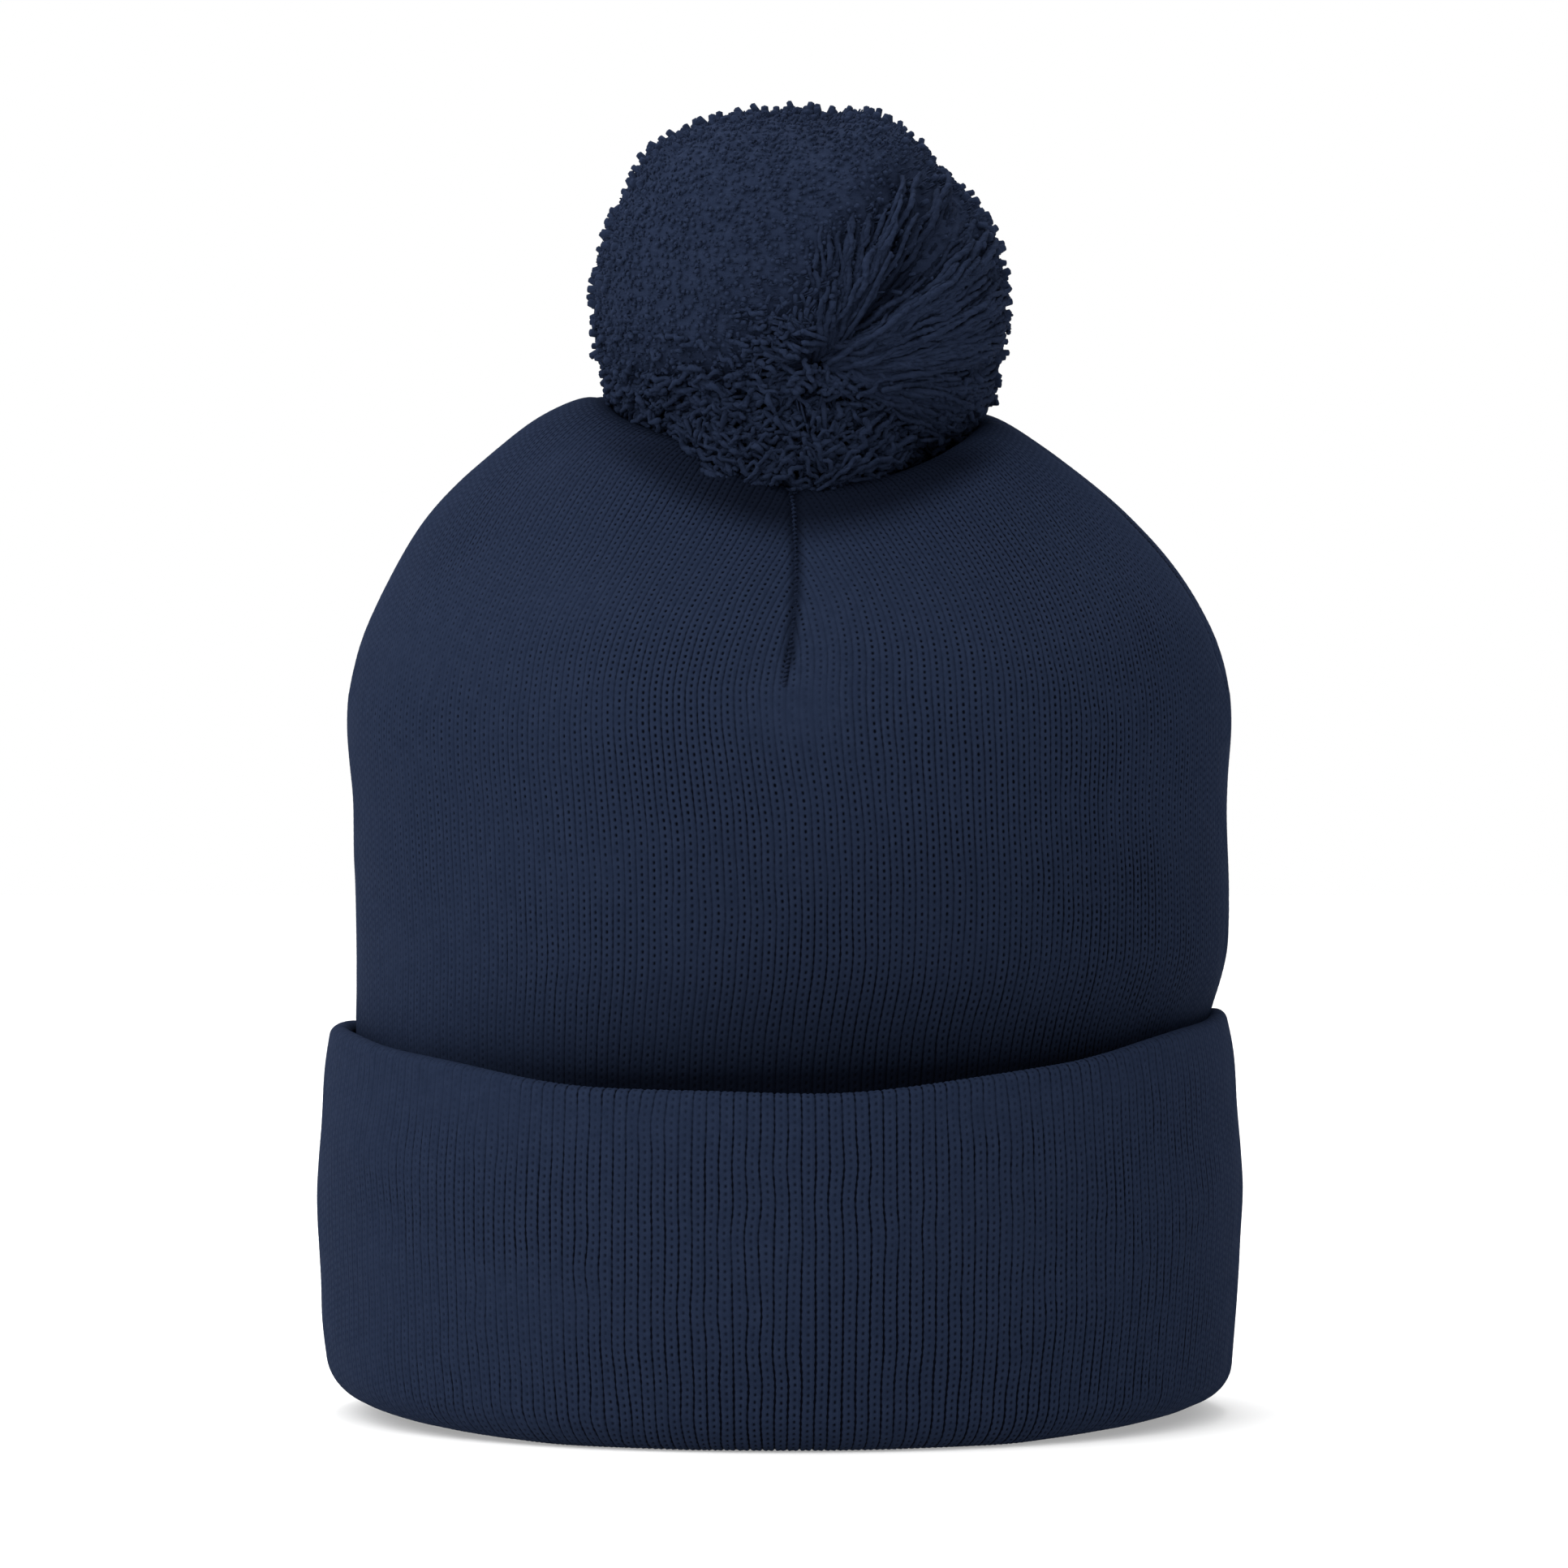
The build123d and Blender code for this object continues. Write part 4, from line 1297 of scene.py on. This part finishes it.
# ---------------------------------------------------------------- cords: two plies twisted together
def plied(centre_line, cord_radius, twist_length, closed=False):
    """Two ply paths that wind round a centre line."""
    line = np.asarray(centre_line, float)
    tangent = np.gradient(line, axis=0)
    if closed:
        tangent = np.roll(line, -1, 0) - np.roll(line, 1, 0)
    tangent = unit(tangent)
    first = np.empty_like(line)
    normal = unit(np.cross(tangent[0], np.array((0.31, 0.52, 0.79))))
    for i in range(len(line)):
        normal = unit(normal - tangent[i] * (normal @ tangent[i]))
        first[i] = normal
    second = np.cross(tangent, first)
    length = np.concatenate([[0], np.cumsum(np.linalg.norm(np.diff(line, axis=0), axis=1))])
    turns = length / twist_length
    if closed:
        turns = turns / turns[-1] * round(turns[-1])
    off = cord_radius * 0.48
    return np.stack(
        [
            line + off * (first * np.cos(2 * math.pi * turns + phase)[:, None] + second * np.sin(2 * math.pi * turns + phase)[:, None])
            for phase in (0, math.pi)
        ]
    )


def cord_piece(name, lines, cord_radius, twist_length, material, sides=10, ends=True):
    parts = []
    for line in lines:
        paths = plied(line, cord_radius, twist_length)
        radii = np.full(paths.shape[:2], cord_radius * 0.52)
        if ends:
            radii[:, 0] *= 0.6
            radii[:, -1] *= 0.6
        parts.append(tube_arrays(paths, radii, sides))
    return joined(name, parts, material)


ring_turn = np.linspace(0, 2 * math.pi * 1.02, 220)
tie_line = POM_CENTRE + 6.3 * np.stack([0.02 * np.sin(ring_turn), np.cos(ring_turn), np.sin(ring_turn)], 1)
tie_wrap = cord_piece("pom_tie_cord", [tie_line], 1.36, 5.5, CORD)

knot_turn = np.linspace(0, 2 * math.pi, 140)
trefoil = np.stack(
    [
        np.sin(knot_turn) + 2 * np.sin(2 * knot_turn),
        np.cos(knot_turn) - 2 * np.cos(2 * knot_turn),
        -1.4 * np.sin(3 * knot_turn),
    ],
    1,
)
KNOT_HEIGHT = POM_CENTRE[2] - 6.3 - 1.4 - 0.35 - 2.1
ANCHOR_HEIGHT = POM_CENTRE[2] - DISH_RADIUS - 3.8 - 4.6
tie_knot = tube_piece(
    "pom_tie_small_knot",
    (np.array((POM_CENTRE[0], POM_CENTRE[1], KNOT_HEIGHT)) + trefoil * 0.47)[None],
    np.full((1, 140), 0.62),
    10,
    CORD,
    twist=1.5,
    lobes=2,
    lobe_depth=0.25,
)
anchor = tube_piece(
    "crown_anchor_knot",
    (np.array((POM_CENTRE[0], POM_CENTRE[1], ANCHOR_HEIGHT)) + trefoil * 1.08)[None],
    np.full((1, 140), 1.3),
    12,
    CORD,
    twist=1.0,
    lobes=2,
    lobe_depth=0.25,
)
tails = cord_piece(
    "pom_tie_two_tails",
    [
        np.stack(
            [
                np.full(60, POM_CENTRE[0] + side * 1.3),
                np.full(60, POM_CENTRE[1]),
                np.linspace(ANCHOR_HEIGHT + 4.7, KNOT_HEIGHT - 2.5, 60),
            ],
            1,
        )
        for side in (-1, 1)
    ],
    1.08,
    4.5,
    CORD,
)

gather_turn = np.linspace(0, 2 * math.pi, 240)
gather_line = np.stack(
    [
        POM_CENTRE[0] + 4.2 * np.cos(gather_turn),
        POM_CENTRE[1] + 4.2 * np.sin(gather_turn),
        POM_CENTRE[2] - DISH_RADIUS - 0.9 + 0.12 * np.cos(12 * gather_turn),
    ],
    1,
)
gathering = cord_piece("crown_gathering_yarn", [gather_line], 0.78, 3.0, THREAD, sides=8, ends=False)


# ---------------------------------------------------------------- dart seams: overlock stitches
def overlock(name, base, normal, reach, proud, shift, radius, fade):
    """Slanting loops of thread over a seam, and the cord of yarn that they bind."""
    along = unit(np.gradient(base, axis=0))
    across = unit(np.cross(along, normal))
    length = np.concatenate([[0], np.cumsum(np.linalg.norm(np.diff(base, axis=0), axis=1))])
    source = np.random.default_rng(len(name) + int(abs(base[0, 0])))
    places = np.arange(0.6, length[-1] - 1.2, 1.16)
    profile = np.linspace(-1, 1, 9)
    paths = []
    for s in places:
        s = s + source.uniform(-0.08, 0.08)
        lift = min(1.0, 0.15 + s / fade)
        width = reach * lift * (1 + source.uniform(-0.08, 0.08))
        line = []
        for u in profile:
            here = s + 0.85 * u * 0.6
            at = np.array([np.interp(here, length, base[:, k]) for k in range(3)])
            n = unit(np.array([np.interp(here, length, normal[:, k]) for k in range(3)]))
            x = unit(np.array([np.interp(here, length, across[:, k]) for k in range(3)]))
            height = proud * lift * (1 - u * u) ** 0.6 - 0.55 * abs(u) ** 4
            line.append(at + x * (u * width + shift) + n * height)
        paths.append(line)
    paths = np.array(paths)
    radii = np.full(paths.shape[:2], radius)
    loops = tube_arrays(paths, radii, 7)
    swell = np.clip(0.15 + length / fade, 0, 1)
    core_line = base[None] + across[None] * shift + (normal * (proud * (1.05 * swell - 0.7))[:, None])[None]
    core = tube_arrays(core_line, (reach * 0.55 * swell)[None], 10, twist=1.1, lobes=3, lobe_depth=0.2)
    return joined(name, [loops, core], THREAD)


seam_pieces = []
for g, side in enumerate(("front", "right", "back", "left")):
    column = (dart_wales[g] * PER_WALE) % COLUMNS
    rows = np.arange(foot_row, foot_row + SHOULDER_COURSES * PER_COURSE + CAP_FINE - 6, 3)
    dent = gores[g][3][rows, 0]
    normal = body_normals[rows, column]
    base = body_points[rows, column] - normal * (np.clip(dent, 0, 3) + 0.15)[:, None]
    if side == "front":
        piece = overlock("front_dart_stitches", base, normal, 0.62, 0.42, -0.35, 0.26, 10.0)
    elif side == "right":
        piece = overlock("right_dart_stitches", base, normal, 1.30, 1.45, 0.0, 0.38, 26.0)
    else:
        piece = overlock(f"{side}_dart_stitches", base, normal, 0.75, 0.55, 0.0, 0.30, 20.0)
    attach(piece, "hat")
    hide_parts(f"{side}_dart_seam")
    seam_pieces.append(piece)
    rows = np.arange(foot_row + 12, foot_row + SHOULDER_COURSES * PER_COURSE + CAP_FINE - 8, 3)
    normal = -body_normals[rows, column]
    base = body_points[rows, column] + normal * 4.0
    piece = overlock(f"lining_{side}_stitches", base, normal, 0.95, 0.55, 0.0, 0.32, 4.0)
    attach(piece, "hat")
    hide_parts(f"lining_{side}_seam")
    seam_pieces.append(piece)

# ---------------------------------------------------------------- care label: a blank folded satin loop
label_low, label_high = (np.array(v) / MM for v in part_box("care_label"))
label_mid = (label_low + label_high) / 2


def label_sheet():
    """A ribbon down, round a soft fold and up again, with its edges slightly waved."""
    width = label_high[0] - label_low[0]
    fold_radius = (label_high[1] - label_low[1]) / 2 - 0.14
    line = []
    for z in np.linspace(label_high[2], label_low[2] + 2.2, 30):
        close = np.clip((z - label_low[2]) / 12.0, 0, 1)
        line.append((-(0.18 + (fold_radius - 0.18) * (1 - close) ** 1.5), z))
    for bend in np.linspace(math.pi, 2 * math.pi, 14)[1:-1]:
        line.append((fold_radius * math.cos(bend), label_low[2] + 2.2 + 2.05 * math.sin(bend)))
    line += [(-y, z) for y, z in line[29::-1]]
    line = np.array(line)
    columns = 28
    x = np.linspace(label_low[0] + 0.05, label_high[0] - 0.05, columns)
    points = np.empty((len(line), columns, 3))
    sag = 0.05 * np.sin(x / width * 9.0)
    points[:, :, 0] = x[None]
    points[:, :, 1] = label_mid[1] + line[:, :1] + sag[None]
    points[:, :, 2] = line[:, 1:] + 0.12 * np.sin(np.linspace(0, 5, columns))[None] * (line[:, 1:] < label_mid[2])
    normal = grid_normals(points, False)
    index = np.arange(points.shape[0] * columns).reshape(points.shape[0], columns)
    count = index.size
    front = np.stack([index[:-1, :-1], index[:-1, 1:], index[1:, 1:], index[1:, :-1]], -1).reshape(-1, 4)
    behind = count + front[:, ::-1]
    border = np.concatenate([index[0, :-1], index[:-1, -1], index[-1, :0:-1], index[:0:-1, 0]])
    following = np.roll(border, -1)
    rim = np.stack([following, border, border + count, following + count], -1)
    faces = np.concatenate([front, behind, rim])
    vertices = np.concatenate([(points + normal * 0.1).reshape(-1, 3), (points - normal * 0.1).reshape(-1, 3)])
    return new_piece("care_label_ribbon", vertices, faces.ravel(), np.arange(len(faces)) * 4, SATIN)


label = label_sheet()
stitch_low, stitch_high = (np.array(v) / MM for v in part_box("label_stitches"))
stitch_paths = []
for x in np.linspace(stitch_low[0] + 0.8, stitch_high[0] - 0.8, 11):
    arc = np.linspace(0, math.pi, 9)
    stitch_paths.append(
        np.stack(
            [
                x + 0.75 * np.cos(arc),
                np.full(9, label_low[1] + 0.25) - 0.28 * np.sin(arc),
                np.full(9, stitch_low[2] + 0.1) + 0.16 * np.cos(2 * arc),
            ],
            1,
        )
    )
    stitch_paths.append(
        np.stack(
            [
                np.full(9, x),
                np.linspace(label_low[1] + 0.2, stitch_high[1] + 0.1, 9),
                np.linspace(label_high[2] - 0.5, stitch_high[2], 9),
            ],
            1,
        )
    )
stitch_paths = np.array(stitch_paths)
label_stitches = tube_piece("care_label_stitching", stitch_paths, np.full(stitch_paths.shape[:2], 0.17), 6, LABEL_THREAD)

# ---------------------------------------------------------------- who rides on what
for piece in crown_pieces:
    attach(piece, "hat")
    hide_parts("outer_knit_layer")
for piece in cuff_pieces:
    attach(piece, "hat")
    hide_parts("cuff_outer_layer")
for piece in lining_pieces:
    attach(piece, "hat")
    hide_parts("inner_knit_layer")
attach(backing, "hat")
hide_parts("cuff_inner_layer")
for piece in pom_pieces:
    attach(piece, "pom")
    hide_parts("pompom_yarn")
for piece, body, node, slot in (
    (tie_wrap, "pom_tie", "pompom_tie_wrap", "tie_cord"),
    (tie_knot, "pom_knot", "pompom_tie_knot", "tie_cord"),
    (anchor, "hat", "anchor_knot", "tie_cord"),
    (tails, "hat", "pompom_tails", "tie_cord"),
    (gathering, "hat", "crown_gathering_thread", "seam_thread"),
    (label, "label", "care_label", "label_satin"),
    (label_stitches, "hat", "label_stitches", "label_thread"),
):
    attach(piece, body)
    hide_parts(node)


for g, (first, last, wales, dent) in enumerate(gores):
    half = (last - first) // (2 * PER_WALE) * PER_WALE
    for k, (start, end) in enumerate(((0, half), (half, last - first))):
        own = np.arange(first + start, first + end + 1) % COLUMNS
for k in range(4):
    own = np.arange(k * COLUMNS // 4, (k + 1) * COLUMNS // 4 + 1) % COLUMNS
    own = np.arange(k * len(lining_turn) // 4, (k + 1) * len(lining_turn) // 4 + 1) % len(lining_turn)
ring = backing_layer(0.0)
for piece in pom_pieces:
    if piece.name.endswith("_fringe"):  # the fringe pieces get meshes of their own
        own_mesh(piece)

# ---------------------------------------------------------------- floor, light and camera
floor_size = 6000.0
floor_mesh = bpy.data.meshes.new("studio_floor")
floor_mesh.from_pydata(
    [(x * floor_size * MM, y * floor_size * MM, 0) for x, y in ((-1, -1), (1, -1), (1, 1), (-1, 1))], [], [(0, 1, 2, 3)]
)
floor = bpy.data.objects.new("studio_floor", floor_mesh)
bpy.context.scene.collection.objects.link(floor)
paper, paper_tree, paper_shader = principled("pale_floor", 0.9, 0.0, 0.5, 0.1)
paper_shader.inputs["Base Color"].default_value = (0.62, 0.62, 0.62, 1)
paper_shader.inputs["Emission Color"].default_value = (1.0, 1.0, 1.0, 1)  # a shooting table, lit softly from below
paper_shader.inputs["Emission Strength"].default_value = 0.33
floor_mesh.materials.append(paper)
floor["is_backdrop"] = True

world = bpy.data.worlds.new("studio")
bpy.context.scene.world = world
world.use_nodes = True
sky = world.node_tree
backdrop = sky.nodes["Background"]
backdrop.inputs["Color"].default_value = (1.0, 1.0, 1.0, 1)
toward = sky.nodes.new("ShaderNodeTexCoord")
facing = sky.nodes.new("ShaderNodeVectorMath")
facing.operation = "DOT_PRODUCT"
facing.inputs[1].default_value = (-0.52, -0.54, 0.66)
sky.links.new(toward.outputs["Generated"], facing.inputs[0])
glow = remap(sky, facing.outputs["Value"], -0.8, 1.0, 0.10, 1.95)
sight = sky.nodes.new("ShaderNodeLightPath")
strength = sky.nodes.new("ShaderNodeMix")
sky.links.new(sight.outputs["Is Camera Ray"], strength.inputs["Factor"])
sky.links.new(glow, strength.inputs["A"])
strength.inputs["B"].default_value = 1.0
sky.links.new(strength.outputs["Result"], backdrop.inputs["Strength"])


def area_light(name, place, target, size, power):
    data = bpy.data.lights.new(name, "AREA")
    data.shape = "RECTANGLE"
    data.size, data.size_y = size
    data.energy = power
    lamp = bpy.data.objects.new(name, data)
    lamp.location = place
    from mathutils import Vector

    lamp.rotation_euler = (Vector(target) - Vector(place)).to_track_quat("-Z", "Y").to_euler()
    bpy.context.scene.collection.objects.link(lamp)
    return lamp


area_light("key_softbox", (-1.2, -1.0, 1.45), (0, 0, 0.12), (1.7, 1.7), 24.0)
area_light("top_softbox", (0.0, 0.75, 1.75), (0, 0, 0.1), (1.0, 1.0), 20.0)

camera_data = bpy.data.cameras.new("camera")
camera_data.sensor_width = 36.0
camera_data.lens = 162.1
camera_data.clip_start = 0.05
camera = bpy.data.objects.new("camera", camera_data)
camera.location = (0.0008, -1.31, 0.116)
camera.rotation_euler = (math.radians(90), 0, 0)
bpy.context.scene.collection.objects.link(camera)
bpy.context.scene.camera = camera
bpy.context.scene.view_settings.view_transform = "Standard"

low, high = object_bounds()
